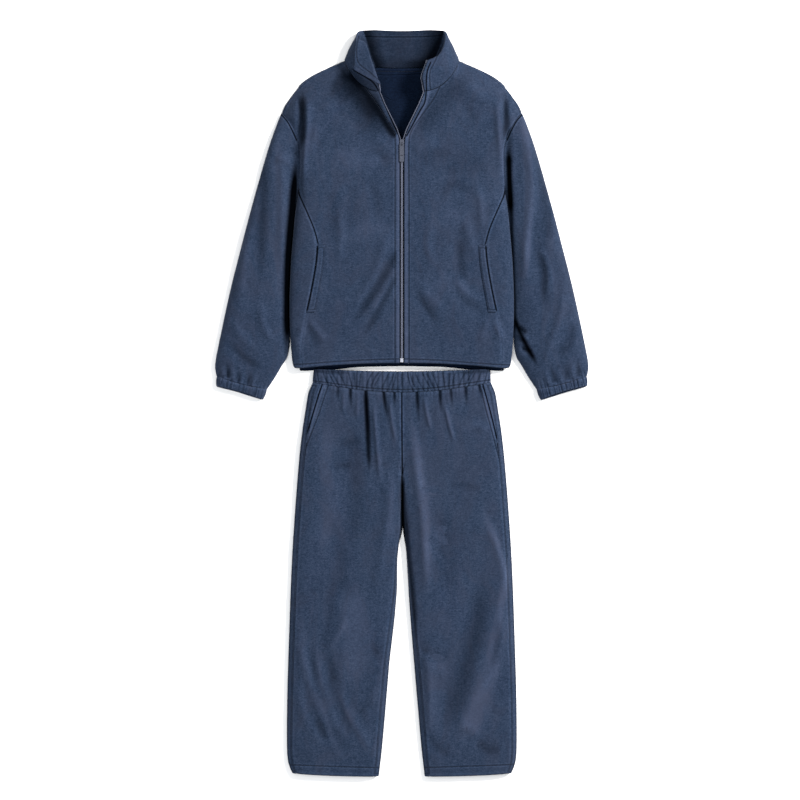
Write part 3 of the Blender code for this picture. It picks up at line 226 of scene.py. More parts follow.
for part, share in ((streaks, 0.22), (curls, 0.30), (tufts, 0.30)):
    height = calc(nap, "MULTIPLY_ADD", part, share, height)
nap.links.new(height, nap_out.inputs["Height"])

# %% The pull of a stitched line, with its painted shade and highlight
pull_in, sew_in, sew_out = new_group(
    "stitch_pull",
    [("Distance", "NodeSocketFloat", 50.0), ("Reach", "NodeSocketFloat", 1.3),
     ("Darkest", "NodeSocketFloat", 0.42)],
    [("Shade", "NodeSocketFloat"), ("Height", "NodeSocketFloat")])
away = calc(pull_in, "DIVIDE", calc(pull_in, "ABSOLUTE", sew_in.outputs["Distance"]), sew_in.outputs["Reach"])
lighter = calc(pull_in, "SUBTRACT", 1.0, sew_in.outputs["Darkest"])
# Painted shade darkens the groove of the line, and a painted highlight lies on its lips.
dark = calc(pull_in, "MULTIPLY_ADD", band(pull_in, away, 0.1, 1.5), lighter, sew_in.outputs["Darkest"])
lip = calc(pull_in, "MULTIPLY", band(pull_in, away, 1.0, 2.2), band(pull_in, away, 2.2, 4.0, 0.22, 0.0))
pull_in.links.new(calc(pull_in, "ADD", dark, lip), sew_out.inputs["Shade"])
pull_in.links.new(band(pull_in, away, 0.0, 2.6, 0.0, 1.0), sew_out.inputs["Height"])
print("groups:", [group.name for group in bpy.data.node_groups])

# %% One fleece material for each finish


NAP_HIGH = 0.9 * MM
STITCH_DEPTH = 1.1                      # how deep a stitched line lies against the nap
# An open seam gets a wider and darker painted shadow than a stitched line.
SLIT = {"Reach": 1.6, "Darkest": 0.02}  # an open seam is wider and darker than a stitched line


def fleece(name, tones, sheen=0.10, gloss=0.15):
    """Brushed fleece from the dark to the lit side of its nap, with a greyer cast in patches, and the painted
    shade and light stored on the mesh.
    """
    made, tree, shader, place = new_material(name)
    dark, middle, light, grey = [(*tone, 1.0) for tone in tones]
    lie = add_node(tree, "ShaderNodeGroup", {"Place": place}, node_tree=nap)
    ramp = add_node(tree, "ShaderNodeValToRGB", {"Fac": lie.outputs["Tone"]})
    low, high = ramp.color_ramp.elements
    low.position, low.color = 0.30, dark
    high.position, high.color = 0.72, light
    ramp.color_ramp.elements.new(0.5).color = middle
    painted_shade = stored(tree, "shade")
    # Where the painted shade rises above 1, as painted light on the ridges, the colour also turns greyer.
    greyer = calc(tree, "MULTIPLY_ADD", lie.outputs["Cast"], 0.30, band(tree, painted_shade, 1.0, 1.4, 0.0, 0.36))
    nearest = calc(tree, "ABSOLUTE", stored(tree, "stitch"))
    for label in ("stitch_b", "edge"):
        nearest = calc(tree, "MINIMUM", nearest, calc(tree, "ABSOLUTE", stored(tree, label)))
    sewn = add_node(tree, "ShaderNodeGroup", {"Distance": nearest}, node_tree=pull_in)
    slit = add_node(tree, "ShaderNodeGroup", node_tree=pull_in)
    give(tree, slit, {"Distance": stored(tree, "slit"), **SLIT})
    # Painted shade: the stitched lines, the open seams and the stored shade dim the cloth together.
    dimmed = calc(tree, "MULTIPLY", sewn.outputs["Shade"], painted_shade)
    dimmed = calc(tree, "MULTIPLY", dimmed, slit.outputs["Shade"])
    relief = calc(tree, "MULTIPLY_ADD", sewn.outputs["Height"], STITCH_DEPTH, lie.outputs["Height"])
    bump = add_node(tree, "ShaderNodeBump", {"Strength": 0.55, "Distance": NAP_HIGH, "Height": relief})
    # The painted shade darkens the colour and also takes the sheen and the gloss out of the shaded places.
    give(tree, shader, {
        "Roughness": 0.92, "Sheen Roughness": 0.45, "Sheen Tint": (0.62, 0.70, 0.95, 1.0),
        "Sheen Weight": calc(tree, "MULTIPLY", dimmed, sheen),
        "Specular IOR Level": calc(tree, "MULTIPLY", dimmed, gloss),
        "Base Color": mix(tree, 1.0, mix(tree, greyer, ramp.outputs["Color"], grey), dimmed, "MULTIPLY"),
        "Normal": bump.outputs["Normal"]})
    return made


# Dark side, middle and lit side of the nap, and its greyer cast
NAVY = ((0.0032, 0.0094, 0.0230), (0.0090, 0.0182, 0.0392),
        (0.0195, 0.0300, 0.0560), (0.0155, 0.0195, 0.0360))
# A darker copy of the same fleece: painted shade for the inner faces and the inside of the back.
NAVY_SHADED = ((0.0008, 0.0024, 0.0075), (0.0013, 0.0042, 0.0125),
             (0.0026, 0.0068, 0.0175), (0.0018, 0.0040, 0.0110))
fleece_main = fleece("fleece_main", NAVY)
fleece_inner = fleece("fleece_inner", NAVY_SHADED, sheen=0.02, gloss=0.05)
print("fleece:", fleece_main.name, fleece_inner.name)

# %% [markdown]
# ## Creases placed one by one
# A laid garment keeps the folds of the way it was put down: long soft ones that run from where
# the cloth is pulled, and short ones under a gathered seam. Each is a line on the plan with a
# half width and a height. A line lifts or sinks the cloth in a bell shape and fades out
# at its ends, which is easier to aim than a simulation.

# %% A crease and what it does to a point


def smooth_line(points, steps):
    """More points on a smooth curve through the given ones."""
    points = np.array(points, dtype=float)
    if len(points) < 3:
        return points
    padded = np.vstack([2 * points[0] - points[1], points, 2 * points[-1] - points[-2]])
    line = []
    for index in range(1, len(padded) - 2):
        a, b, c, d = padded[index - 1:index + 3]
        for t in np.linspace(0.0, 1.0, steps, endpoint=False):
            line.append(0.5 * (2 * b + (c - a) * t + (2 * a - 5 * b + 4 * c - d) * t ** 2
                               + (3 * b - a - 3 * c + d) * t ** 3))
    line.append(points[-1])
    return np.array(line)


def plan_line(spots, steps=6):
    """The smooth line on the plan through some places on the photograph."""
    return smooth_line([seen(*spot) for spot in spots], steps)


def lengths_of(line):
    """How far along a line each of its points lies."""
    return np.concatenate([[0.0], np.cumsum(np.linalg.norm(np.diff(line, axis=0), axis=1))])


def in_box(plan, line, reach):
    """Which plan places lie in the box round a line, widened by a reach."""
    return np.all((plan > line.min(axis=0) - reach) & (plan < line.max(axis=0) + reach), axis=1)


def measure_line(line, plan):
    """For each plan place: distance to a line, side of it, and share along it."""
    best = np.full(len(plan), 1e9)
    side = np.ones(len(plan))
    along = np.zeros(len(plan))
    lengths = lengths_of(line)
    for index in range(len(line) - 1):
        start, step = line[index], line[index + 1] - line[index]
        span = np.dot(step, step)
        offset = plan - start
        share = np.clip(offset @ step / span, 0.0, 1.0)
        gap = offset - share[:, None] * step
        distance = np.hypot(gap[:, 0], gap[:, 1])
        nearer = distance < best
        best[nearer] = distance[nearer]
        cross = step[0] * offset[:, 1] - step[1] * offset[:, 0]
        side[nearer] = np.sign(cross[nearer])
        along[nearer] = (lengths[index] + share[nearer] * math.sqrt(span)) / lengths[-1]
    return best, side, along


def ease(value):
    """Smooth step of an array from 0 to 1."""
    value = np.clip(value, 0.0, 1.0)
    return value * value * (3.0 - 2.0 * value)


def bell(plan, points, wide, start=0.3, end=0.3):
    """1 on a line of photograph places, falling to 0 at its sides and its ends."""
    line = plan_line(points)
    near = in_box(plan, line, 2.6 * wide * MM)
    value = np.zeros(len(plan))
    if near.any():
        distance, _, along = measure_line(line, plan[near])
        fade = ease(along / start) * ease((1.0 - along) / end)
        value[near] = fade * np.exp(-(distance / (wide * MM)) ** 2)
    return value


# %% Creases of the jacket
# Half width and height in millimetres, places read off the photograph, and how much of the
# crease's length its start and its end take to fade
JACKET_CREASES = (
    (8, 3.4, ((303, 88), (308, 106), (307, 132), (304, 158), (303, 192))),
    (6, -3.4, ((297, 92), (300, 108), (299, 132), (300, 142))),
    (9, 2.0, ((316, 122), (313, 145), (309, 158))),
    (14, -1.2, ((330, 188), (331, 215), (326, 243))),
    (10, 2.2, ((340, 205), (341, 235), (340, 268))),
    (14, -1.2, ((352, 178), (351, 205), (349, 238))),
    (14, 2.2, ((345, 144), (372, 136), (394, 152))),
    (12, -1.8, ((352, 158), (374, 154), (392, 166))),
    (12, 3.0, ((392, 220), (380, 262), (366, 290), (345, 318))),
    (9, -3.0, ((397, 250), (386, 272), (371, 296), (352, 324)), 0.15, 0.3),
    (12, 2.6, ((398, 274), (384, 300), (366, 322))),
    (8, -2.6, ((396, 274), (382, 304), (362, 338)), 0.15, 0.3),
    (12, -1.8, ((366, 176), (376, 205), (372, 232))),
    (8, 2.0, ((309, 318), (317, 331), (328, 344))),
    (8, -1.2, ((306, 322), (310, 334), (318, 348))),
    (9, 1.8, ((305, 322), (299, 336), (293, 350))),
    (8, 3.4, ((502, 88), (498, 106), (499, 132), (502, 160), (503, 192))),
    (6, -3.4, ((509, 92), (506, 108), (507, 130), (505, 142))),
    (12, 2.2, ((411, 153), (424, 146), (440, 141))),
    (11, -1.8, ((414, 166), (432, 156), (452, 154))),
    (12, -2.2, ((434, 202), (450, 187), (476, 193))),
    (9, 2.4, ((476, 178), (481, 205), (482, 238))),
    (11, 2.0, ((464, 214), (470, 238), (477, 264))),
    (12, -2.0, ((455, 236), (460, 262), (458, 284))),
    (9, 1.7, ((456, 272), (464, 291), (488, 305))),
    (10, -1.4, ((452, 286), (464, 303), (486, 314))),
    (8, -1.9, ((414, 290), (424, 307), (438, 326))),
    (11, 2.2, ((417, 280), (430, 298), (446, 314))),
    (10, 2.0, ((433, 214), (428, 246), (436, 268))),
    (8, 2.0, ((489, 319), (484, 331), (480, 344))),
    (8, 1.8, ((494, 319), (499, 331), (506, 344))),
    (14, 2.2, ((352, 82), (336, 96), (322, 118))),
    (12, 2.0, ((458, 84), (474, 92), (490, 104))),
    (12, -1.8, ((452, 94), (466, 108), (474, 128))),
)

# %% Creases of the sleeves
SLEEVE_CREASES = (
    (11, 3.4, ((281, 128), (283, 160), (282, 215), (283, 290))),
    (12, -3.0, ((266, 160), (261, 205), (257, 290))),
    (12, 2.2, ((252, 210), (244, 260), (238, 315))),
    (7, 2.4, ((274, 161), (283, 159), (293, 166))),
    (9, 2.4, ((261, 300), (264, 326), (276, 345))),
    (10, -2.8, ((226, 340), (242, 358), (262, 370))),
    (10, 2.2, ((232, 318), (240, 334), (256, 350))),
    (5, 1.4, ((221, 364), (223, 376)), 0.8, 0.1),
    (4.5, -2.0, ((226, 358), (228, 378)), 0.8, 0.1),
    (5, 1.6, ((232, 362), (233, 380)), 0.8, 0.1),
    (4.5, -1.5, ((239, 366), (237, 382)), 0.8, 0.1),
    (5, 1.2, ((244, 370), (241, 384)), 0.8, 0.1),
    (4.5, -2.0, ((251, 368), (247, 385)), 0.8, 0.1),
    (5, 1.5, ((257, 370), (252, 386)), 0.8, 0.1),
    (11, 4.0, ((521, 116), (529, 150), (532, 190), (527, 245), (525, 300))),
    (12, -2.8, ((541, 170), (548, 215), (546, 250))),
    (8, 2.6, ((531, 244), (543, 254), (549, 276), (545, 306))),
    (10, -1.5, ((535, 250), (541, 272), (542, 306))),
    (10, 3.2, ((566, 282), (560, 318), (548, 352), (538, 370))),
    (10, -2.8, ((574, 318), (568, 344), (552, 362))),
    (5, -3.2, ((517, 326), (527, 334))),
    (5, 2.8, ((516, 334), (530, 341))),
    (5, -3.2, ((520, 347), (532, 354))),
    (5, 1.5, ((543, 366), (549, 385)), 0.8, 0.1),
    (4.5, -2.0, ((549, 362), (555, 383)), 0.8, 0.1),
    (5, 1.2, ((557, 366), (561, 382)), 0.8, 0.1),
    (4.5, -1.5, ((564, 362), (567, 380)), 0.8, 0.1),
    (5, 1.6, ((570, 352), (573, 379)), 0.8, 0.1),
    (4.5, -2.0, ((577, 358), (579, 377)), 0.8, 0.1),
)

# %% Creases of the trousers
TROUSER_CREASES = (
    (3.6, -3.2, ((350, 385), (350, 398), (351, 414)), 0.08, 0.8),
    (4.5, -4.2, ((365.2, 387), (366.5, 410), (368, 436), (370, 474)), 0.06, 0.7),
    (5.5, 2.8, ((373, 392), (375, 420), (378, 455), (381, 490))),
    (4.0, -4.0, ((383.2, 389), (384.5, 404), (388, 428)), 0.08, 0.8),
    (4.5, 2.2, ((389, 394), (392, 420), (397, 448))),
    (3.2, -2.6, ((394, 390), (394, 410)), 0.08, 0.8),
    (4.0, -3.8, ((416.6, 390), (417, 404), (418, 424)), 0.08, 0.8),
    (5.0, 2.4, ((424, 394), (427, 414), (432, 434))),
    (3.6, -3.2, ((439.5, 388), (439.8, 402), (441, 418)), 0.08, 0.8),
    (3.6, -2.8, ((450, 386), (452, 412)), 0.08, 0.8),
    (4.5, 2.6, ((444, 400), (449, 424), (456, 446))),
    (3.6, -3.0, ((465, 383), (466, 410)), 0.08, 0.8),
    (3.6, -2.6, ((478, 381), (483, 406)), 0.08, 0.8),
    (3.4, -2.4, ((338, 384), (336, 406)), 0.08, 0.8),
    (5.0, 2.0, ((344, 390), (343, 414))),
    (5.0, 2.0, ((358, 391), (357, 420))),
    (13, 2.6, ((330, 470), (332, 500), (331, 535))),
    (9, -1.8, ((333, 446), (348, 444), (363, 441))),
    (9, -1.8, ((327, 467), (340, 467), (352, 466))),
    (12, 2.8, ((387, 470), (390, 505), (383, 548), (374, 600))),
    (12, 4.0, ((415, 420), (417, 470), (424, 520), (426, 560), (430, 610))),
    (14, -2.4, ((440, 500), (446, 560), (450, 610))),
    (9, 2.2, ((455, 436), (474, 426), (493, 433))),
    (9, -1.8, ((447, 484), (464, 487), (482, 491))),
    (9, 3.0, ((486, 516), (499, 552), (505, 580), (498, 606))),
    (8, -2.4, ((427, 536), (434, 543), (444, 551))),
    (12, -2.2, ((345, 540), (341, 560), (338, 600))),
    (10, 2.8, ((296, 628), (306, 668), (320, 712), (334, 742))),
    (10, -1.6, ((306, 640), (315, 680), (330, 718))),
    (10, 2.2, ((315, 640), (322, 684), (338, 728), (364, 750))),
    (11, -1.8, ((330, 654), (333, 688), (346, 722), (362, 744))),
    (7, 3.4, ((322, 652), (330, 647), (338, 636), (348, 616))),
    (9, 3.4, ((338, 686), (347, 711), (361, 734), (375, 757))),
    (9, -1.6, ((316, 712), (321, 726), (328, 741))),
    (9, 2.0, ((294, 680), (308, 724), (328, 746))),
    (9, 2.6, ((378, 682), (370, 706), (364, 724))),
    (9, -2.4, ((377, 646), (376, 658))),
    (8, -2.2, ((372, 700), (365, 712))),
    (16, -2.8, ((480, 590), (474, 636), (465, 668), (455, 700), (438, 732))),
    (13, 4.2, ((500, 590), (501, 648), (488, 680), (466, 711), (452, 734))),
    (6, -3.0, ((419, 643), (428, 653), (440, 658), (452, 657))),
    (8, 2.2, ((421, 654), (436, 667), (450, 668))),
    (9, 2.8, ((456, 722), (468, 727), (482, 733))),
    (10, -2.4, ((474, 740), (486, 750), (502, 752))),
    (10, 2.2, ((424, 640), (430, 690), (428, 740))),
    (10, -2.0, ((424, 730), (436, 748), (452, 758))),
)
print("creases:", len(JACKET_CREASES), len(SLEEVE_CREASES), len(TROUSER_CREASES))

# %% Painted light and shade
# Painted light and shade along lines: reach in millimetres, tone on the line (1 is the cloth as it is, below
# 0 a black core of painted shadow), places
JACKET_PAINTED_LIGHT = (
    (32, 0.36, ((344, 64), (348, 76), (357, 90), (368, 105), (382, 123))),
    (15, 0.42, ((364, 93), (377, 108), (388, 124), (397, 140))),
    (44, 0.62, ((330, 84), (340, 88), (352, 100))),
    (54, 0.58, ((340, 66), (352, 88), (368, 110), (390, 138))),
    (40, 0.70, ((412, 134), (430, 113), (448, 93), (470, 74))),
    (50, 0.88, ((446, 160), (462, 165), (478, 150))),
    (46, 1.24, ((338, 166), (350, 158), (366, 156), (384, 160))),
    (34, 1.18, ((350, 236), (366, 230), (388, 218))),
    (34, 1.16, ((440, 214), (456, 216), (470, 222))),
    (36, 1.18, ((430, 280), (448, 286), (472, 292))),
    (12, 0.80, ((397, 248), (385, 272), (370, 298), (350, 328))),
    (11, 0.82, ((397, 272), (384, 300), (362, 338))),
    (12, 1.20, ((398, 262), (388, 284), (368, 314))),
    (12, 0.84, ((464, 213), (461, 240), (462, 266), (472, 292))),
    (14, 1.08, ((306, 205), (304, 225), (306, 240))),
    (11, 0.30, ((302.5, 90), (303.5, 114), (303.5, 132), (300.5, 150))),
    (8, 0.60, ((505, 92), (506, 112), (504, 140))),
)
SLEEVE_PAINTED_LIGHT = (
    (12, 0.60, ((296, 124), (297.5, 140), (296, 160))),
    (15, -0.25, ((297.5, 146), (295, 176), (292.6, 206), (288.5, 254), (287.3, 297), (286.8, 364))),
    (11, 0.50, ((508.5, 120), (509.5, 145), (510, 168))),
    (11, -0.20, ((508.5, 146), (509.5, 180), (511, 218))),
    (7, 0.20, ((511, 176), (512, 240), (514, 300), (515, 350))),
    (10, 0.0, ((513, 312), (519, 330), (529, 350), (538, 366))),
    (14, 1.22, ((278, 120), (277, 200), (277, 300))),
    (16, 0.84, ((265.5, 158), (264, 210), (262, 266))),
    (14, 1.10, ((247, 230), (239, 300))),
    (14, 1.38, ((521, 104), (527, 160), (528, 205), (525, 284))),
    (20, 0.84, ((535, 140), (543, 190), (547, 246))),
    (18, 0.82, ((536, 230), (545, 262), (546, 312))),
    (10, 1.12, ((551, 262), (556, 290), (552, 320))),
)
TROUSER_PAINTED_LIGHT = (
    (8, 0.15, ((365.2, 384), (366.2, 410), (367.4, 436), (369.5, 474))),
    (26, 0.80, ((352, 420), (357, 480), (354, 550))),
    (10, 0.78, ((341, 465), (352, 466))),
    (28, 1.26, ((326, 420), (326, 490), (325, 560))),
    (14, 1.20, ((392, 462), (392, 500), (388, 546))),
    (6.5, 0.0, ((402.2, 470), (402.6, 492), (403.0, 516), (403.6, 552))),
    (8, 0.35, ((405, 505), (408, 545), (413, 590), (417, 640))),
    (16, 1.36, ((411, 412), (418, 462), (425, 518), (428, 590))),
    (14, 1.42, ((480, 500), (499, 556), (504, 584), (496, 628), (484, 676))),
    (36, 1.26, ((494, 650), (482, 700), (462, 740))),
    (36, 0.70, ((488, 572), (476, 628), (464, 672), (446, 736))),
    (24, 0.86, ((474, 745), (484, 750), (494, 756))),
    (16, 0.84, ((334, 566), (331, 612), (323, 655))),
    (48, 1.30, ((354, 584), (356, 640), (350, 690))),
    (15, 0.74, ((330, 654), (332, 670), (334, 687))),
    (16, 0.74, ((362, 704), (363, 714))),
    (13, 0.66, ((316, 718), (321, 730), (326, 740))),
    (10, 1.22, ((316, 640), (322, 696), (332, 738), (346, 764))),
    (10, 1.24, ((332, 678), (349, 720), (372, 760))),
    (12, 0.86, ((373, 640), (375, 658))),
    (8, 0.62, ((311, 404), (310, 420), (307.5, 440))),
    (20, 0.88, ((296, 752), (312, 760))),
    (30, 1.14, ((440, 640), (436, 690), (430, 750))),
    (110, 1.10, ((456, 560), (462, 640), (470, 760))),
    (20, 1.14, ((300, 600), (304, 660), (306, 720))),
)
BAND_PAINTED_LIGHT = (
    (46, 0.86, ((300, 378), (360, 382), (440, 382), (504, 378))),
    (8, 0.50, ((300, 370), (322, 371), (350, 373))),
    (8, 0.50, ((456, 373), (482, 371), (504, 370))),
)

# %% The lie of the cloth as a whole


def wander(plan, size, seed):
    """Slow uneven waves from a few crossed sines, between about -1 and 1."""
    total = np.zeros(len(plan))
    for number in range(5):
        angle = seed * 1.7 + number * 2.399
        way = np.array([math.cos(angle), math.sin(angle)])
        turn = plan @ way * (2 * math.pi / size) * (0.7 + 0.23 * number)
        bend = plan @ np.array([-way[1], way[0]]) * (2 * math.pi / size) * 0.45
        total += np.sin(turn + 1.3 * np.sin(bend + number) + seed * number)
    return total / 3.2


CREASE_GAIN = 1.55      # how much higher the creases are than in their tables
DARKEST = 0.02          # the least shade of a gap


def cloth_lift(plan, creases):
    """Height that the creases and the uneven lie add at plan places."""
    lift = 0.45 * MM * wander(plan, 0.15, 3.0) + 0.30 * MM * wander(plan, 0.06, 8.0)
    for wide, high, points, *ends in creases:
        lift += CREASE_GAIN * high * MM * bell(plan, points, wide, *ends)
    return lift


def hollow(plan, creases):
    """Painted shade in the troughs and painted light on the ridges, more the steeper they are."""
    value = np.ones(len(plan))
    for wide, high, points, *ends in creases:
        much = max(-0.85, 0.85 * high / wide) if high < 0 else min(0.30, 0.50 * high / wide)
        value *= 1.0 + much * bell(plan, points, 0.9 * wide, *ends)
    return value


def painted_light_zones(plan, zones):
    """Painted light and shade in bands along lines: lighter where the nap faces the lamp, darker where it
    faces away, and painted shadow in gaps.
    """
    value = np.ones(len(plan))
    for reach, tone, points in zones:
        line = plan_line(points)
        near = in_box(plan, line, reach * MM)
        if near.any():
            distance, _, along = measure_line(line, plan[near])
            taper = ease(along / 0.25 + 0.15) * ease((1.0 - along) / 0.25 + 0.15)
            narrower = reach * (0.45 + 0.55 * taper) * MM
            soft = taper * np.clip(1.0 - (distance / narrower) ** 2, 0.0, 1.0) ** 2
            value[near] *= np.maximum(1.0 + (tone - 1.0) * soft, DARKEST)
    return value


# %% [markdown]
# ## From a solid to a piece of cloth
# The part's solids are closed walls with square edges. For each one a new mesh is made on the
# same form: its triangles are joined to quads, the square edges are rounded by a narrow bevel,
# and a subdivision surface smooths the rest. The side that faces out is cut finer, so that a
# crease a few millimetres wide still has a soft slope.

# %% Find the outer side of a wall


def outer_faces(mesh, sharp=50.0):
    """The faces of the largest side of a wall, reached without passing a sharp edge."""
    limit = math.radians(sharp)
    mesh.faces.ensure_lookup_table()
    found, best, best_area = set(), [], 0.0
    for first in mesh.faces:
        if first.index in found:
            continue
        group, queue, area = [], [first], 0.0
        found.add(first.index)
        while queue:
            face = queue.pop()
            group.append(face)
            area += face.calc_area()
            for edge in face.edges:
                if edge.calc_face_angle(math.pi) > limit:
                    continue
                for other in edge.link_faces:
                    if other.index not in found:
                        found.add(other.index)
                        queue.append(other)
        if area > best_area:
            best, best_area = group, area
    return best


# %% Round, smooth and cut finer


def cloth_from(node, name, edge=0.7, levels=2, finer=True, both=False, sharp=50.0):
    """A cloth piece on the form of a CAD node, with rounded edges."""
    mesh = bmesh.new()
    mesh.from_mesh(nodes[node].data)
    bmesh.ops.remove_doubles(mesh, verts=mesh.verts, dist=2e-5)
    bmesh.ops.join_triangles(mesh, faces=mesh.faces, angle_face_threshold=math.radians(25),
                             angle_shape_threshold=math.radians(70))
    mesh.faces.index_update()
    for face in mesh.faces:
        face.material_index = 0 if both else 1
        face.smooth = True
    for face in outer_faces(mesh, sharp):
        face.material_index = 0
    square = [e for e in mesh.edges if e.calc_face_angle(0.0) > math.radians(sharp)]
    bmesh.ops.bevel(mesh, geom=square, offset=edge * MM, offset_type="OFFSET", segments=1,
                    profile=0.5, affect="EDGES", clamp_overlap=True)
    data = bpy.data.meshes.new(name)
    mesh.to_mesh(data)
    mesh.free()
    piece = bpy.data.objects.new(name, data)
    bpy.context.scene.collection.objects.link(piece)
    rounding = piece.modifiers.new("smooth", "SUBSURF")
    rounding.levels = rounding.render_levels = levels
    settled = bpy.data.meshes.new_from_object(
        piece.evaluated_get(bpy.context.evaluated_depsgraph_get()))
    piece.modifiers.clear()
    piece.data = settled
    settled.name = name
    if finer:
        mesh = bmesh.new()
        mesh.from_mesh(settled)
        mesh.normal_update()
        cut = [e for e in mesh.edges if all(f.material_index == 0 and f.normal.z > 0.1 for f in e.link_faces)]
        bmesh.ops.subdivide_edges(mesh, edges=cut, cuts=1, use_grid_fill=True)
        mesh.to_mesh(settled)
        mesh.free()
    return piece


def read_points(data):
    """All vertex places of a mesh as an array."""
    points = np.empty(len(data.vertices) * 3)
    data.vertices.foreach_get("co", points)
    return points.reshape(-1, 3)


def read_normals(data):
    """All vertex normals of a mesh as an array."""
    normals = np.empty(len(data.vertices) * 3)
    data.vertex_normals.foreach_get("vector", normals)
    return normals.reshape(-1, 3)


def write_points(data, points):
    """Put the vertices of a mesh in new places, none below the floor."""
    points[:, 2] = np.maximum(points[:, 2], 0.0)
    data.vertices.foreach_set("co", points.ravel())
    data.update()


def fill_out(piece, by=0.7):
    """Let the edges of a piece swell sideways until they meet the next piece."""
    points, normals = read_points(piece.data), read_normals(piece.data)
    level = np.clip(1.0 - np.abs(normals[:, 2]) / 0.8, 0.0, 1.0)
    points[:, :2] += normals[:, :2] * (level * by * MM)[:, None]
    write_points(piece.data, points)


def shape_cloth(piece, creases, extra=None):
    """Lay the creases into a piece; its underside stays where it rests."""
    points = read_points(piece.data)
    plan = points[:, :2]
    lift = cloth_lift(plan, creases)
    if extra is not None:
        lift += extra(plan)
    weight = ease((points[:, 2] - 3.5 * MM) / (6.0 * MM))
    beside_zip = np.where(plan[:, 1] > 0.08, ease((np.abs(plan[:, 0]) - 0.008) / 0.014), 1.0)
    points[:, 2] += lift * weight * beside_zip
    write_points(piece.data, points)


def paint_shade(piece, creases=(), zones=(), shades=()):
    """Store the painted shade and light: 1 as it is, less in gaps and troughs, more on ridges."""
    points = read_points(piece.data)
    value = hollow(points[:, :2], creases) * painted_light_zones(points[:, :2], zones)
    for shade in shades:
        value = shade(points, value)
    store(piece, "shade", value)


def finish_cloth(piece, node, outside, inside=None):
    """Smooth shading, materials, what the piece stands for and what it rides on."""
    piece.data.polygons.foreach_set("use_smooth", [True] * len(piece.data.polygons))
    piece.data.materials.clear()
    piece.data.materials.append(outside)
    # The inner faces get the darker copy of the fleece, as painted shade.
    piece.data.materials.append(inside or fleece_inner)
    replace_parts(piece, node)
    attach(piece, "garment")
    return piece


def edge_distance(piece, reach=12.0):
    """Each point's distance in millimetres to the edge of the piece's outer side."""
    data = piece.data
    points = read_points(data)
    kinds = {}
    for face in data.polygons:
        for key in face.edge_keys:
            kinds.setdefault(key, set()).add(face.material_index)
    spots = []
    for (a, b), found in kinds.items():
        if len(found) == 2:
            steps = max(2, int(np.linalg.norm(points[a] - points[b]) / MM))
            spots.extend(points[a] + (points[b] - points[a]) * t for t in np.linspace(0, 1, steps))
    if not spots:
        return np.full(len(points), reach)
    tree = KDTree(len(spots))
    for index, spot in enumerate(spots):
        tree.insert(spot, index)
    tree.balance()
    return np.array([min(tree.find(point)[2] / MM, reach) for point in points])


def line_distance(points, lines, far=60.0):
    """Signed distance in millimetres to the nearest of some lines, inside positive."""
    nearest = np.full(len(points), far)
    for line, inside in lines:
        distance, side, _ = measure_line(plan_line(line), points[:, :2])
        signed = distance * side * inside / MM
        nearest = np.where(np.abs(signed) < np.abs(nearest), signed, nearest)
    return nearest


def store(piece, name, values):
    """Keep one number for each point of a piece."""
    layer = piece.data.attributes.new(name, "FLOAT", "POINT")
    layer.data.foreach_set("value", values)


def mark_lines(piece, lines, slits=(), seam=0.6):
    """Store distances to the stitched lines, the edge and the open seams for the material."""
    points = read_points(piece.data)
    store(piece, "stitch", line_distance(points, lines[:1]))
    store(piece, "stitch_b", line_distance(points, lines[1:]))
    store(piece, "edge", edge_distance(piece) + seam)
    store(piece, "slit", line_distance(points, slits))


# %% [markdown]
# ## The jacket
# Two fronts, two side panels behind the curved front seams, the back, two sleeves and the
# gathered cuffs. A stitched line runs beside the zip and above the hem.

# %% Stitched lines of the jacket
FRONT_SEAM = ((298.6, 192), (300.2, 197), (307.8, 214), (314.1, 229), (318.3, 244))
ARMHOLE = ((281.5, 114.6), (287, 121), (292, 130), (296.5, 140))
WELT_SLIT = ((317.9, 246.5), (316.4, 262), (313.3, 281), (310.2, 297), (307.2, 310.5))
NECK_LINE = ((368, 70.2), (400, 70.8), (430, 70.2))
LIP_LEFT = ((398.0, 362), (398.0, 250), (398.0, 146), (396.2, 138), (389.0, 121), (380, 101), (376, 92))
LIP_RIGHT = ((406.4, 362), (406.4, 250), (406.4, 146), (408.5, 138), (416.4, 122), (426, 103), (429.5, 92))
TAPE_LEFT = ((379.3, 92), (382.3, 99.5), (386.4, 108.6), (389.9, 116.5), (393.8, 125.5), (398.4, 134.6))
TAPE_RIGHT = ((426.5, 90), (424.6, 103), (420.6, 110), (414.2, 122), (406.7, 136))
ROLL_LEFT = ((354, 70.5), (364.7, 77), (372.6, 82.6), (378.2, 90.5), (381.1, 99.5))
ROLL_RIGHT = ((430.5, 63.5), (427.3, 72), (426.2, 84), (427, 97))
UNDER_LEFT = ((352, 76), (355, 81), (360, 87), (366, 93), (370, 98), (374, 104), (378, 110), (383, 118),
              (388, 127), (394, 135))
RIM_LEFT = ((352.5, 66.5), (356.8, 69.2), (365, 74.8), (372.8, 80), (379, 88.5))
WING_LEFT = ((358.6, 36), (356.6, 52), (358.8, 64), (370, 73.5), (379.5, 83), (384, 95))
WING_RIGHT = ((441.0, 48), (434.5, 63), (430.0, 72), (430.0, 86), (432.5, 98))
COLLAR_TOP = ((365, 35.8), (380, 36.2), (402, 36.4), (424, 36.0), (440, 35.0))
HEM_LINE = ((284, 364.8), (305, 364.0), (325, 362.4), (345, 361.0), (365, 360.0), (402, 359.0),
            (440, 360.3), (460, 361.9), (480, 363.3), (500, 364.6), (520, 365.4))
ZIP_LINE_LEFT = ((395.0, 380), (395.0, 300), (395.0, 200), (395.2, 146), (393.5, 131), (382, 112),
                 (372, 97), (362, 84), (352, 72))
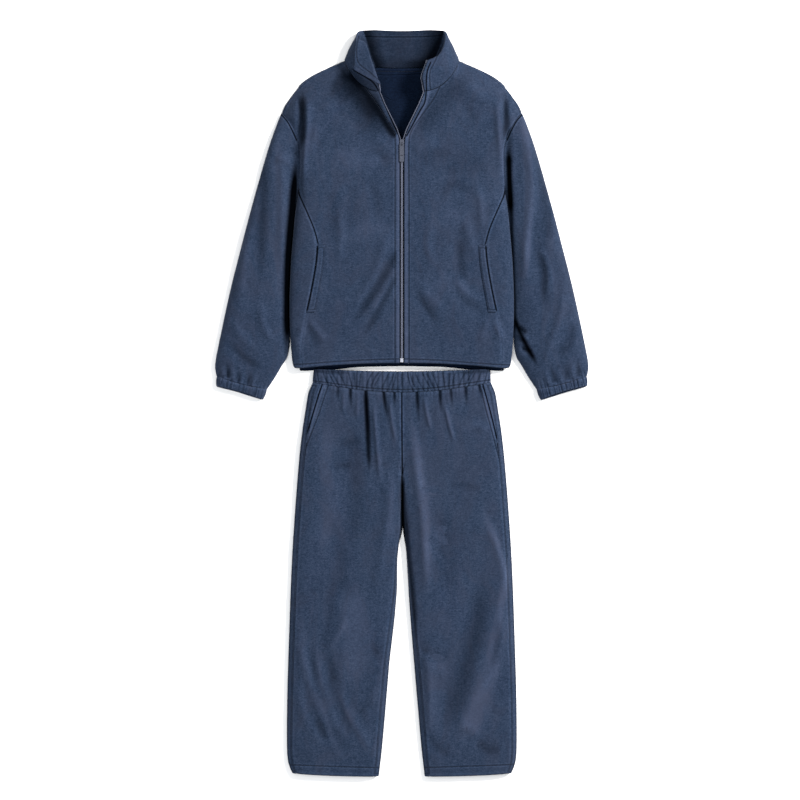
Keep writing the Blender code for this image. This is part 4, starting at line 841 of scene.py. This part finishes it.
ZIP_LINE_RIGHT = ((409.0, 380), (409.0, 300), (409.0, 200), (408.8, 146), (411.5, 131), (422, 115),
                  (433, 100), (440, 86), (446, 72))
LINES = {
    "jacket_front_left": ((HEM_LINE, 1), (ZIP_LINE_LEFT, 1)),
    "jacket_front_right": ((HEM_LINE, 1), (ZIP_LINE_RIGHT, -1)),
    "jacket_side_left": ((HEM_LINE, 1),),
    "jacket_side_right": ((HEM_LINE, 1),),
    "jacket_back": ((NECK_LINE, 1),),
    "collar": ((WING_LEFT, 1), (WING_RIGHT, 1), (COLLAR_TOP, -1)),
}
SIDES = ("left", "right")
SLITS = {"collar": ((ROLL_LEFT, 1), (ROLL_RIGHT, 1))}
for side, tape, turned in zip(SIDES, (TAPE_LEFT, TAPE_RIGHT), (tuple, mirrored)):
    seam, armhole, slit = ((turned(line), 1) for line in (FRONT_SEAM, ARMHOLE, WELT_SLIT))
    SLITS["jacket_front_" + side] = ((tape, 1), seam, armhole)
    SLITS["jacket_side_" + side] = (slit, seam)
    SLITS["sleeve_" + side] = (armhole,)
    SLITS["welt_" + side] = (slit,)

# %% Gathered ribs


def ribs(along, pitch, seed):
    """Rounded ribs with narrow valleys along a gathered band, uneven, 0 to 1."""
    turn = along / pitch
    turn = turn + 0.22 * np.sin(turn * 1.9 + seed) + 0.13 * np.sin(turn * 4.3 + 2 * seed)
    return np.abs(np.sin(math.pi * turn)) ** 0.6


def painted_light_along(line, reach, tone):
    """Painted light towards one tone on a line of photograph places: painted shade below 1, painted highlight
    above.
    """
    def shade(points, value):
        near = beside(points[:, :2], line, reach)
        return value * (1.0 - near) + tone * near
    return shade


def beside(plan, line, reach):
    """1 on a line of photograph places, falling to 0 at a reach in millimetres."""
    return ease(1.0 - measure_line(plan_line(line), plan)[0] / (reach * MM))


CUFF_SEAMS = {"left": ((212, 375), (240, 382.5), (269, 390)),
              "right": ((590, 375), (562, 382.5), (533, 390))}


def side_of(piece):
    """The side of the body that a piece is named for."""
    return "left" if "_left" in piece.name else "right"


def cuff_way(side):
    """The start of a cuff's seam, the way along it and its length."""
    start, end = np.array(seen(*CUFF_SEAMS[side][0])), np.array(seen(*CUFF_SEAMS[side][-1]))
    length = np.linalg.norm(end - start)
    return start, (end - start) / length, length


def cuff_place(points, side):
    """The way down a sleeve, and how near the cuff's middle and how far down each point lies."""
    start, way, length = cuff_way(side)
    down = np.array([way[1], -way[0]]) * np.sign(way[0])
    offset = points[:, :2] - start
    share = np.clip(offset @ way / length, 0, 1)
    return down, 1.0 - (2.0 * share - 1.0) ** 2, offset @ down


def cuff_ribs(side, high, reach=None):
    """Height of the gathers on a cuff, or above it where they fade out up the sleeve."""
    way = cuff_way(side)[1]

    def lift(plan):
        value = high * MM * (ribs(plan @ way, 9.0 * MM, 1.0 if side == "left" else 2.0) - 0.6)
        return value if reach is None else value * beside(plan, CUFF_SEAMS[side], reach)
    return lift


def reach_cuff(piece):
    """Let the sleeve's lower edge bulge over the top of the cuff."""
    points = read_points(piece.data)
    down, middle, _ = cuff_place(points, side_of(piece))
    close = beside(points[:, :2], CUFF_SEAMS[side_of(piece)], 13)
    points[:, :2] += down * (MM * (0.8 + 2.4 * middle) * close)[:, None]
    write_points(piece.data, points)


def open_mouth(piece):
    """Straighten the cuff's lower edge, and let its back layer show below the front one."""
    points = read_points(piece.data)
    down, middle, below = cuff_place(points, side_of(piece))
    low = ease((below - 8 * MM) / (10 * MM))
    back = 1.0 - ease((points[:, 2] - 4 * MM) / (4 * MM))
    points[:, :2] += down * (MM * low * middle * (2.4 + 4.0 * back))[:, None]
    write_points(piece.data, points)


BODY_HALF, BODY_LOW = 236, 74       # the jacket's half width and the place of its hem, in millimetres
DROP_X = (0, 60, 90, 140, 168, 205, 219, 228, 236)
DROP = (1.5, 2.2, 2.7, 5.6, 6.1, 6.4, 5.5, 3.0, 0.5)
INNER_FOLD_Y = (104, 127, 158, 200, 286, 372, 415, 445)
INNER_FOLD_X = (245.6, 242.6, 242.4, 243.3, 241.2, 234.4, 229.9, 226)


def round_corner(piece, radius=11):
    """Round the lower corners of the body."""
    points = read_points(piece.data)
    across = (np.abs(points[:, 0]) - (BODY_HALF - radius) * MM) / (radius * MM)
    down = ((BODY_LOW + radius) * MM - points[:, 1]) / (radius * MM)
    u, v = np.clip(across, 0, 1), np.clip(down, 0, 1)
    new_u, new_v = u * np.sqrt(1 - v * v / 2), v * np.sqrt(1 - u * u / 2)
    points[:, 0] += np.sign(points[:, 0]) * (new_u - u) * radius * MM
    points[:, 1] -= (new_v - v) * radius * MM
    write_points(piece.data, points)


def drop_hem(piece):
    """Let the back hem show a little below the whole of the front hem."""
    points = read_points(piece.data)
    drop = np.interp(np.abs(points[:, 0]) / MM, DROP_X, DROP)
    points[:, 1] -= MM * drop * ease((120 * MM - points[:, 1]) / (40 * MM))
    write_points(piece.data, points)


def draw_in_sleeve(piece):
    """Let the sleeve's inner fold lie against the side of the body."""
    points = read_points(piece.data)
    out = -1.0 if side_of(piece) == "left" else 1.0
    y = points[:, 1] / MM
    inner = np.interp(y, INNER_FOLD_Y, INNER_FOLD_X) * MM
    much = np.interp(y, (60, 110, 150, 200, 440, 470, 480), (0, 0, 1, 1, 1, 0.4, 0))
    points[:, 0] -= out * 1.9 * MM * much * ease(1.0 - (points[:, 0] * out - inner) / (16 * MM))
    write_points(piece.data, points)


# %% Make the jacket's cloth
CLOTH = {}
EXTRA = {"cuff_left": cuff_ribs("left", 2.0), "cuff_right": cuff_ribs("right", 2.0),
         "sleeve_left": cuff_ribs("left", 2.4, 26), "sleeve_right": cuff_ribs("right", 2.4, 26)}


def neck_shade(points, value):
    """Painted shade on the collar's inside, between the folds of its two wings."""
    px, py = on_photo(points)
    left = np.interp(py, (30, 35, 56, 67, 84, 90), (362, 364, 370, 374.5, 378, 380))
    right = np.interp(py, (30, 36, 47, 58, 62, 72, 90), (445, 444, 441, 436, 427, 422, 423))
    inside = ease((px - left) / 2.0) * ease((right - px) / 2.0) * ease((92 - py) / 4)
    open_part = ease((px - left - 2) / 16) * ease((right - 5 - px) / 26)
    deep = (0.14 + 0.50 * open_part) * (1.0 - 0.30 * ease((py - 52) / 12))
    return value * (1.0 - inside * (1.0 - deep))


def raise_collar(piece):
    """Bring the rolled top of the collar up to where it shows."""
    points = read_points(piece.data)
    points[:, 1] += 2.2 * MM * ease((points[:, 1] / MM - 786) / 8)
    write_points(piece.data, points)


# Painted shade and painted highlight on single pieces: the shadow under the turned lapel and inside the
# collar, and light on the rims and the lips of the zip.
SHADES = {
    "collar": (neck_shade, painted_light_along(UNDER_LEFT, 9, 0.6), painted_light_along(RIM_LEFT, 4, 1.25),
               painted_light_along(LIP_RIGHT[-2:], 5, 1.2)),
    "jacket_front_left": (painted_light_along(UNDER_LEFT, 13, 0.10), painted_light_along(LIP_LEFT[:4], 5, 1.35),
                          painted_light_along(LIP_LEFT[4:], 5, 0.75)),
    "jacket_front_right": (painted_light_along(LIP_RIGHT, 5, 1.42),),
}
PAINTED_LIGHT = {"jacket_front": JACKET_PAINTED_LIGHT, "jacket_side": JACKET_PAINTED_LIGHT, "welt": JACKET_PAINTED_LIGHT,
        "collar": JACKET_PAINTED_LIGHT[:2], "sleeve": SLEEVE_PAINTED_LIGHT, "waistband": BAND_PAINTED_LIGHT,
        "pants_front": TROUSER_PAINTED_LIGHT, "pants_back": TROUSER_PAINTED_LIGHT}
GATHERED, PLAIN = 74.0, 50.0        # degrees from which an edge counts as sharp
CREASES = {"jacket_front": JACKET_CREASES, "jacket_side": JACKET_CREASES, "welt": JACKET_CREASES,
           "sleeve": SLEEVE_CREASES, "pants_front": TROUSER_CREASES, "pants_back": TROUSER_CREASES}
MENDS = {"sleeve": (draw_in_sleeve, reach_cuff), "cuff": (open_mouth,), "jacket_side": (round_corner,),
         "collar": (raise_collar,)}


def kind_of(node):
    """The name of a cut piece without its side."""
    return node.replace("_left", "").replace("_right", "")


def make_cloth(node):
    """One cut piece: its shell, its creases, its own mends, and what the material reads from it."""
    kind = kind_of(node)
    piece = cloth_from(node, node + "_cloth", both=kind == "collar",
                       sharp=GATHERED if kind in ("cuff", "waistband") else PLAIN)
    fill_out(piece)
    shape_cloth(piece, CREASES.get(kind, ()), EXTRA.get(node))
    for mend in MENDS.get(kind, ()):
        mend(piece)
    mark_lines(piece, LINES.get(node, ()), SLITS.get(node, ()), 1.2 if kind == "collar" else 0.6)
    paint_shade(piece, CREASES.get(kind, ()), PAINTED_LIGHT.get(kind, ()), SHADES.get(node, ()))
    CLOTH[node] = finish_cloth(piece, node, fleece_main)


for kind in ("jacket_front", "jacket_side", "sleeve", "welt", "cuff"):
    for side in SIDES:
        make_cloth(kind + "_" + side)
make_cloth("collar")
back = cloth_from("jacket_back", "jacket_back_cloth", finer=False)
fill_out(back)
drop_hem(back)
round_corner(back)
mark_lines(back, LINES["jacket_back"])
paint_shade(back)
# The back wears the darker copy of the fleece, as painted shade on its inside in the open neck and below the
# hem.
CLOTH["jacket_back"] = finish_cloth(back, "jacket_back", fleece_inner)
print("jacket:", sum(len(p.data.polygons) for p in CLOTH.values()), "faces")

# %% [markdown]
# ## The trousers
# Two fronts and two backs that wrap round the leg folds, with pocket facings in the slanted
# openings and a gathered waistband. The deep folds hang from the band's gathers.

# %% Stitched lines of the trousers
LEG_HEM_LEFT = ((276, 764.6), (300, 765.4), (340, 766.8), (395, 768.4))
LEG_HEM_RIGHT = ((405, 768.4), (460, 766.6), (500, 765.2), (526, 764.2))
POCKET_LEFT = ((330.5, 380), (327.0, 389), (317.8, 416.6), (306.5, 446), (290, 492))
POCKET_RIGHT = ((477.0, 380), (480.2, 386), (486.0, 410), (491.8, 431), (500, 462))
BAND_LOW = ((309, 380.2), (340, 384.4), (370, 388.0), (400, 389.5), (430, 388.2), (460, 384.4),
            (494, 379.2))
MOUTH_LEFT = ((322.8, 383), (319, 394), (312.8, 414), (307.6, 431), (304.2, 441))
MOUTH_RIGHT = ((482.6, 383), (487.2, 400), (492.4, 420), (496.8, 438))
CENTRE_SEAM = ((401.8, 392), (401.8, 415), (402.0, 440), (402.3, 474))
MOUTH_LIP_LEFT = ((325.2, 385), (321.2, 395), (315, 415), (309.8, 432), (306.4, 441))
MOUTH_LIP_RIGHT = ((480.2, 385), (484.8, 401), (490, 421), (494.4, 438))
SLITS.update({"pants_front_left": ((MOUTH_LEFT, 1), (CENTRE_SEAM, 1)),
              "pants_front_right": ((MOUTH_RIGHT, 1), (CENTRE_SEAM, 1)),
              "pocket_facing_left": ((MOUTH_LEFT, 1),), "pocket_facing_right": ((MOUTH_RIGHT, 1),)})
LINES.update({
    "pants_front_left": ((LEG_HEM_LEFT, 1), (POCKET_LEFT, 1)),
    "pants_front_right": ((LEG_HEM_RIGHT, 1), (POCKET_RIGHT, -1)),
    "pants_back_left": ((LEG_HEM_LEFT, 1),),
    "pants_back_right": ((LEG_HEM_RIGHT, 1),),
    "waistband": ((BAND_LOW, 1),),
})

# %% Make the trousers' cloth
WAIST_SEAM = ((300, 380), (314, 383), (340, 387), (370, 391), (400, 392.5), (430, 391), (460, 387),
              (488, 382), (502, 379))


def waist_gathers(plan):
    """Short uneven gathers that fade out below the waist seam."""
    fine = ribs(plan[:, 0], 10.0 * MM, 1.7) - 0.55
    broad = ribs(plan[:, 0], 23.0 * MM, 4.1) - 0.55
    return MM * (1.6 * fine * beside(plan, WAIST_SEAM, 24) + 1.8 * broad * beside(plan, WAIST_SEAM, 60))


BAND_WIDE, BAND_RIBS = 383.0, 35.0     # the waistband's width in millimetres and its ribs, as in the part


def band_ribs(plan):
    """Deeper and uneven valleys between the ribs of the elastic waistband."""
    turn = (plan[:, 0] / MM / BAND_WIDE + 0.5) * BAND_RIBS
    valley = (0.5 - 0.5 * np.cos(2.0 * math.pi * turn)) ** 2
    uneven = 0.55 + 0.45 * np.sin(turn * 2.3 + 1.1) + 0.25 * np.sin(turn * 0.9)
    return MM * (1.5 * (band_tucks(plan) - 0.6) - 1.0 * valley * uneven)


INNER_Y = (495, 505, 515, 530, 545, 560, 575, 590, 620, 660, 700)
INNER_LEFT = (401.3, 400.7, 400.0, 398.3, 396.6, 395.6, 394.4, 393.4, 391.6, 389.0, 386.4)
INNER_RIGHT = (403.2, 403.4, 403.6, 404.6, 406.0, 407.2, 408.2, 408.8, 410.6, 413.4, 416.8)


def meet_at_crotch(piece):
    """Fill out the left leg's inner fold, and let the legs' lower layers meet below the crotch."""
    points = read_points(piece.data)
    px, py = on_photo(points)
    left, right = np.interp(py, INNER_Y, INNER_LEFT), np.interp(py, INNER_Y, INNER_RIGHT)
    low = 1.0 - ease((points[:, 2] - 3 * MM) / (4 * MM))
    meet = ease((py - 492) / 10) * ease((554 - py) / 34)
    if px.mean() < CENTRE_X:
        near = ease(1.0 - (left - px) / 14)
        fuller = np.interp(py, (512, 530, 560, 590, 620, 660), (0.0, 1.5, 0.6, 2.2, 1.6, 0.0))
        points[:, 0] += PIXEL * near * np.maximum(fuller, low * meet * (402.9 - left))
    else:
        near = ease(1.0 - (px - right) / 14)
        points[:, 0] -= PIXEL * near * low * meet * (right - 402.3)
    write_points(piece.data, points)


def crotch_shade(points, value):
    """Painted shade on the lower layers between the legs."""
    px, py = on_photo(points)
    low = 1.0 - ease((points[:, 2] - 4 * MM) / (4 * MM))
    near = ease(1.0 - np.abs(px - 402.5) / 12) * ease((py - 460) / 20) * ease((580 - py) / 20)
    return value * (1.0 - 0.85 * low * near)


def band_tucks(plan):
    """The slanted uneven tucks between the elastic's ribs, 0 to 1."""
    slant = 0.55 * np.sin(plan[:, 0] / MM / 31.0) * (plan[:, 1] - 0.048)
    return ribs(plan[:, 0] + slant, 12.5 * MM, 3.3)


def band_shade(points, value):
    """Painted shade in the valleys of the tucks and painted light on their tops, most of all in the middle of
    the band.
    """
    py = on_photo(points)[1]
    middle = ease((py - 371) / 4) * ease((388 - py) / 3)
    front = ease((points[:, 2] - 4 * MM) / (3 * MM))
    return value * (1.04 + 0.95 * front * middle * (band_tucks(points[:, :2]) - 0.66))


def draw_in_waist(piece):
    """Bring the trousers' top corners in to the ends of the waistband."""
    points = read_points(piece.data)
    much = ease((points[:, 1] / MM - 20) / 26) * ease((np.abs(points[:, 0]) / MM - 150) / 45)
    points[:, 0] -= np.sign(points[:, 0]) * 4.2 * MM * much
    write_points(piece.data, points)


EXTRA.update({"waistband": band_ribs, "pants_front_left": waist_gathers, "pants_front_right": waist_gathers})
# Painted shade in the band's tucks and between the legs, and a painted highlight on the lips of the pocket
# mouths.
SHADES.update({
    "waistband": (band_shade,), "pants_back_left": (crotch_shade,), "pants_back_right": (crotch_shade,),
    "pants_front_left": (crotch_shade, painted_light_along(MOUTH_LIP_LEFT, 3.5, 1.35)),
    "pants_front_right": (crotch_shade, painted_light_along(MOUTH_LIP_RIGHT, 3.5, 1.35)),
})
MENDS.update({"pants_front": (draw_in_waist, meet_at_crotch), "pants_back": (draw_in_waist, meet_at_crotch),
              "pocket_facing": (draw_in_waist,)})
for kind in ("pants_front", "pants_back", "pocket_facing"):
    for side in SIDES:
        make_cloth(kind + "_" + side)
make_cloth("waistband")
print("all cloth:", sum(len(p.data.polygons) for p in CLOTH.values()), "faces")

# %% [markdown]
# ## The zip
# The tape is a woven ribbon and the slider is satin metal. The teeth are a moulded coil: one
# small bar after another along each tape, the two rows alternating where the zip is closed.
# Where they run is found from the part itself, by walking along the bar it has in their place.

# %% Woven tape and worn metal
weave, weave_in, weave_out = new_group("tape_weave", [("Place", "NodeSocketVector", None)],
                                       [("Height", "NodeSocketFloat")])
waves = add_node(weave, "ShaderNodeTexWave", {"Scale": 380.0, "Distortion": 1.5,
                                              "Vector": weave_in.outputs["Place"]}, bands_direction="Y")
give(weave, weave_out, {"Height": waves.outputs["Fac"]})

wear, wear_in, wear_out = new_group("metal_wear", [("Place", "NodeSocketVector", None)],
                                    [("Roughness", "NodeSocketFloat"), ("Height", "NodeSocketFloat")])
rubbed = noise(wear, wear_in.outputs["Place"], 420.0, 4.0, 0.6, 0.4)
scratch = noise(wear, stretch(wear, wear_in.outputs["Place"], (1.0, 0.12, 1.0)), 1800.0, 2.0, 0.6, 0.2)
give(wear, wear_out, {"Roughness": band(wear, rubbed, 0.35, 0.7, 0.30, 0.52), "Height": scratch})


def zip_finish(name, colour, rough, metallic=0.0, group=None, relief=0.1, gloss=0.25):
    """A finish for a part of the zip, with fine relief from one of the groups."""
    made, tree, shader, place = new_material(name)
    detail = add_node(tree, "ShaderNodeGroup", node_tree=group)
    give(tree, detail, {"Place": place})
    bump = add_node(tree, "ShaderNodeBump", {"Strength": 0.4, "Distance": relief * MM,
                                             "Height": detail.outputs["Height"]})
    give(tree, shader, {"Base Color": (*colour, 1.0), "Roughness": detail.outputs.get("Roughness") or rough,
                        "Metallic": metallic, "Normal": bump.outputs["Normal"]})
    if metallic == 0.0:
        give(tree, shader, {"Specular IOR Level": gloss})
    return made


woven_tape = zip_finish("woven_tape", (0.0012, 0.0022, 0.0052), 0.9, group=weave, relief=0.35, gloss=0.03)
coil_plastic = zip_finish("coil_plastic", (0.130, 0.146, 0.200), 0.40, group=wear, relief=0.03)
# A darker copy of the coil's plastic, as painted shade on the open rows between the lips.
coil_open = zip_finish("coil_open", (0.085, 0.098, 0.140), 0.45, group=wear, relief=0.03)
slider_metal = zip_finish("slider_metal", (0.060, 0.066, 0.086), 0.40, 1.0, group=wear, relief=0.06)
stop_metal = zip_finish("stop_metal", (0.26, 0.27, 0.31), 0.30, 1.0, group=wear, relief=0.04)
thread = zip_finish("thread", (0.0120, 0.0190, 0.0370), 0.75, group=weave, relief=0.10)
for name, node in nodes.items():
    if name in ("zip_slider", "zip_pull") or "_stop" in name:
        for index in range(len(node.data.materials)):
            node.data.materials[index] = stop_metal if name == "zip_bottom_stop" else slider_metal

# %% Many small bars in one mesh


def bars(name, centres, longs, sides, size, finish, around=6):
    """Small rounded bars: their centres, long and side directions, and length, width, height."""
    centres, longs, sides = (np.asarray(part, dtype=float) for part in (centres, longs, sides))
    longs = longs / np.linalg.norm(longs, axis=1)[:, None]
    ups = np.cross(longs, sides)
    ups /= np.linalg.norm(ups, axis=1)[:, None]
    sides = np.cross(ups, longs)
    points, faces = [], []
    turns = np.linspace(0, 2 * math.pi, around, endpoint=False)
    for share, scale in ((-0.5, 0.5), (-0.36, 1.0), (0.36, 1.0), (0.5, 0.5)):
        for turn in turns:
            points.append(centres + (longs * share * size[0] + sides * math.cos(turn) * scale * size[1] / 2
                                     + ups * math.sin(turn) * scale * size[2] / 2) * MM)
    points = np.stack(points, axis=1)
    count = points.shape[1]
    for ring in range(3):
        for k in range(around):
            faces.append((ring * around + k, ring * around + (k + 1) % around,
                          (ring + 1) * around + (k + 1) % around, (ring + 1) * around + k))
    caps = [tuple(range(around))[::-1], tuple(range(3 * around, 4 * around))]
    data = bpy.data.meshes.new(name)
    data.from_pydata(points.reshape(-1, 3).tolist(), [],
                     [tuple(start + k for k in face) for start in range(0, len(centres) * count, count)
                      for face in faces + caps])
    data.polygons.foreach_set("use_smooth", [True] * len(data.polygons))
    data.materials.append(finish)
    made = bpy.data.objects.new(name, data)
    bpy.context.scene.collection.objects.link(made)
    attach(made, "garment")
    return made


def walk_rings(node):
    """Centres and width directions along a bar-shaped node, from its lower end up."""
    mesh = bmesh.new()
    mesh.from_mesh(nodes[node].data)
    bmesh.ops.remove_doubles(mesh, verts=mesh.verts, dist=2e-5)
    ring = sorted(mesh.verts, key=lambda vertex: vertex.co.y)[:4]
    found, rows = set(ring), []
    while ring:
        spots = np.array([vertex.co for vertex in ring])
        centre = spots.mean(axis=0)
        wide = np.linalg.svd(spots - centre)[2][0]
        if rows and wide @ rows[-1][1] < 0:
            wide = -wide
        rows.append((centre, wide))
        ring = [v for v in {e.other_vert(u) for u in ring for e in u.link_edges} if v not in found]
        found.update(ring)
    mesh.free()
    return rows


def at_lengths(places, length, values):
    """The values of a line's points at other lengths along it."""
    return np.stack([np.interp(places, length, column) for column in values.T], axis=1)


def along_rows(rows, pitch, start=0.0):
    """Places, directions and width directions every pitch along walked rings."""
    spots = np.array([row[0] for row in rows])
    wides = np.array([row[1] for row in rows])
    length = lengths_of(spots)
    places = np.arange(start * MM, length[-1] - 0.4 * MM, pitch * MM)
    here = at_lengths(places, length, spots)
    return here, np.gradient(here, axis=0), at_lengths(places, length, wides)


# %% The coil
TOOTH_PITCH = 1.5
for side in SIDES:
    node = "zip_teeth_" + side
    here, forward, wide = along_rows(walk_rings(node), TOOTH_PITCH, 0.8)
    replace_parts(bars(node + "_coil", here, wide, forward, (2.4, 0.95, 1.9), coil_open), node)
here, forward, wide = along_rows(walk_rings("zip_teeth_closed"), TOOTH_PITCH / 2, 0.5)
wide = np.tile((1.0, 0.0, 0.0), (len(here), 1))
here = here + wide * np.where(np.arange(len(here)) % 2, 0.85 * MM, -0.85 * MM)[:, None]
closed = bars("zip_teeth_closed_coil", here, wide, forward, (3.3, 0.72, 1.9), coil_plastic)
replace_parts(closed, "zip_teeth_closed")


GUARD_ROW = 91.5            # row of the photograph from which the cloth covers the tape


def guard_end(tape):
    """Cover the tape's end on the folded wing with the cloth of the jacket."""
    tape.data.materials.append(fleece_main)
    for face in tape.data.polygons:
        if face.center.x < 0 and face.center.y > seen(0, GUARD_ROW)[1]:
            face.material_index = 2


for side in SIDES:
    node = "zip_tape_" + side
    tape = cloth_from(node, node + "_cloth", edge=0.2, levels=1, finer=False, both=True)
    mark_lines(tape, ())
    # A painted highlight along the rim of the left wing, on the cloth that covers the tape's end.
    paint_shade(tape, shades=(painted_light_along(RIM_LEFT, 9, 1.15),))
    CLOTH[node] = finish_cloth(tape, node, woven_tape, woven_tape)
    guard_end(tape)

# %% [markdown]
# ## Stitches
# Each topstitched line is sewn with short threads that lie in the pulled-in groove. A line is
# sampled every few millimetres, dropped onto the cloth, and a small bar is laid along it.

# %% Sew a line
surface = bpy.context.evaluated_depsgraph_get()
surface.update()
TREES = {name: BVHTree.FromObject(piece, surface) for name, piece in CLOTH.items()}


def sew(name, lines, pieces, pitch=3.4, under=False):
    """Lay threads along lines of photograph places, on the upper or the underside of pieces."""
    centres, longs, sides = [], [], []
    from_high, way = (-0.1, Vector((0, 0, 1))) if under else (0.2, Vector((0, 0, -1)))
    for line in lines:
        spots = plan_line(line, 16)
        length = lengths_of(spots)
        hits = []
        for x, y in at_lengths(np.arange(pitch / 2 * MM, length[-1], pitch * MM), length, spots):
            best = None
            for piece in pieces:
                spot, normal, _, _ = TREES[piece].ray_cast(Vector((x, y, from_high)), way)
                if spot is not None and (best is None or (spot.z < best[0].z) == under):
                    best = (spot, normal)
            hits.append(best)
        for index in range(1, len(hits)):
            if hits[index] is None or hits[index - 1] is None:
                continue
            (here, up), (before, _) = hits[index], hits[index - 1]
            step = here - before
            if step.length > 2.2 * pitch * MM:
                continue
            centres.append((here + before) / 2 + up * 0.02 * MM)
            longs.append(step)
            sides.append(up.cross(step))
    if not centres:
        print("nothing to sew on", name)
        return None
    return bars(name, centres, longs, sides, (pitch * 0.72, 0.55, 0.42), thread)


BAND_TOP = ((313, 376.2), (340, 376.0), (400, 376.6), (460, 376.0), (491, 376.2))
WELT_BOX_LEFT = ((325.4, 247.5), (324.6, 262), (321.6, 281), (318.4, 297), (314.9, 309.5))
WELT_BOX_RIGHT = mirrored(WELT_BOX_LEFT)
FRONTS = ("jacket_front_left", "jacket_front_right", "jacket_side_left", "jacket_side_right")
LEGS = ("pants_front_left", "pants_front_right", "pants_back_left", "pants_back_right")
WELTS = ("welt_left", "welt_right")
SEWN = (
    ("zip_stitches", (ZIP_LINE_LEFT[1:-1], ZIP_LINE_RIGHT[1:-1]), FRONTS, False),
    ("front_hem_stitches", (HEM_LINE,), FRONTS, False),
    ("back_hem_stitches", (((292, 362.5), (345, 360.5), (402, 360.3), (458, 360.5), (511, 362.5)),),
     ("jacket_back",), True),
    ("leg_hem_stitches", (LEG_HEM_LEFT, LEG_HEM_RIGHT), LEGS, False),
    ("back_leg_hem_stitches", (LEG_HEM_LEFT, LEG_HEM_RIGHT), LEGS, True),
    ("trouser_pocket_stitches", (POCKET_LEFT[1:-1], POCKET_RIGHT[1:-1]), LEGS, False),
    ("waist_stitches", (BAND_TOP, BAND_LOW), ("waistband",), False),
    ("welt_stitches", (WELT_BOX_LEFT, WELT_BOX_RIGHT, ((318.5, 246.6), (325, 246.6)),
                       ((478.6, 246.6), (485.1, 246.6)), ((307.6, 310.4), (314.4, 311.0)),
                       ((489.2, 311.0), (496, 310.4))), WELTS, False),
    ("neck_stitches", (NECK_LINE,), ("jacket_back",), False),
    ("collar_stitches", (WING_LEFT, WING_RIGHT), ("collar",), False),
)
for name, lines, pieces, under in SEWN:
    made = sew(name, lines, pieces, under=under)
    if made:
        print(name, len(made.data.polygons) // 20, "stitches")

# %% [markdown]
# ## How each piece was cut
# The flat size of each cut piece in metres, width before length, and its flat area where the
# cut is not a rectangle. Tubes such as the sleeves and the waistband are measured all round.

# %% Flat sizes
CUT = {
    "jacket_back": (0.518, 0.662, 0.290), "jacket_front": (0.254, 0.663, 0.129),
    "jacket_side": (0.075, 0.378, 0.0230), "sleeve": (0.360, 0.594, 0.131),
    "cuff": (0.210, 0.026, 0.0042), "collar": (0.450, 0.085, 0.0327), "welt": (0.019, 0.144, 0.0026),
    "waistband": (0.766, 0.0435, 0.0326), "pants_front": (0.238, 0.844, 0.1686),
    "pants_back": (0.300, 0.848, 0.2043), "pocket_facing": (0.012, 0.129, 0.00116),
    "zip_tape": (0.0102, 0.700, 0.0065),
}
for node, piece in CLOTH.items():
    kind = kind_of(node)
    wide, long, area = CUT[kind]
faces = {name: sum(len(f.vertices) - 2 for f in piece.data.polygons) for name, piece in CLOTH.items()}
print("triangles of cloth", sum(faces.values()), "largest", max(faces.items(), key=lambda item: item[1]))
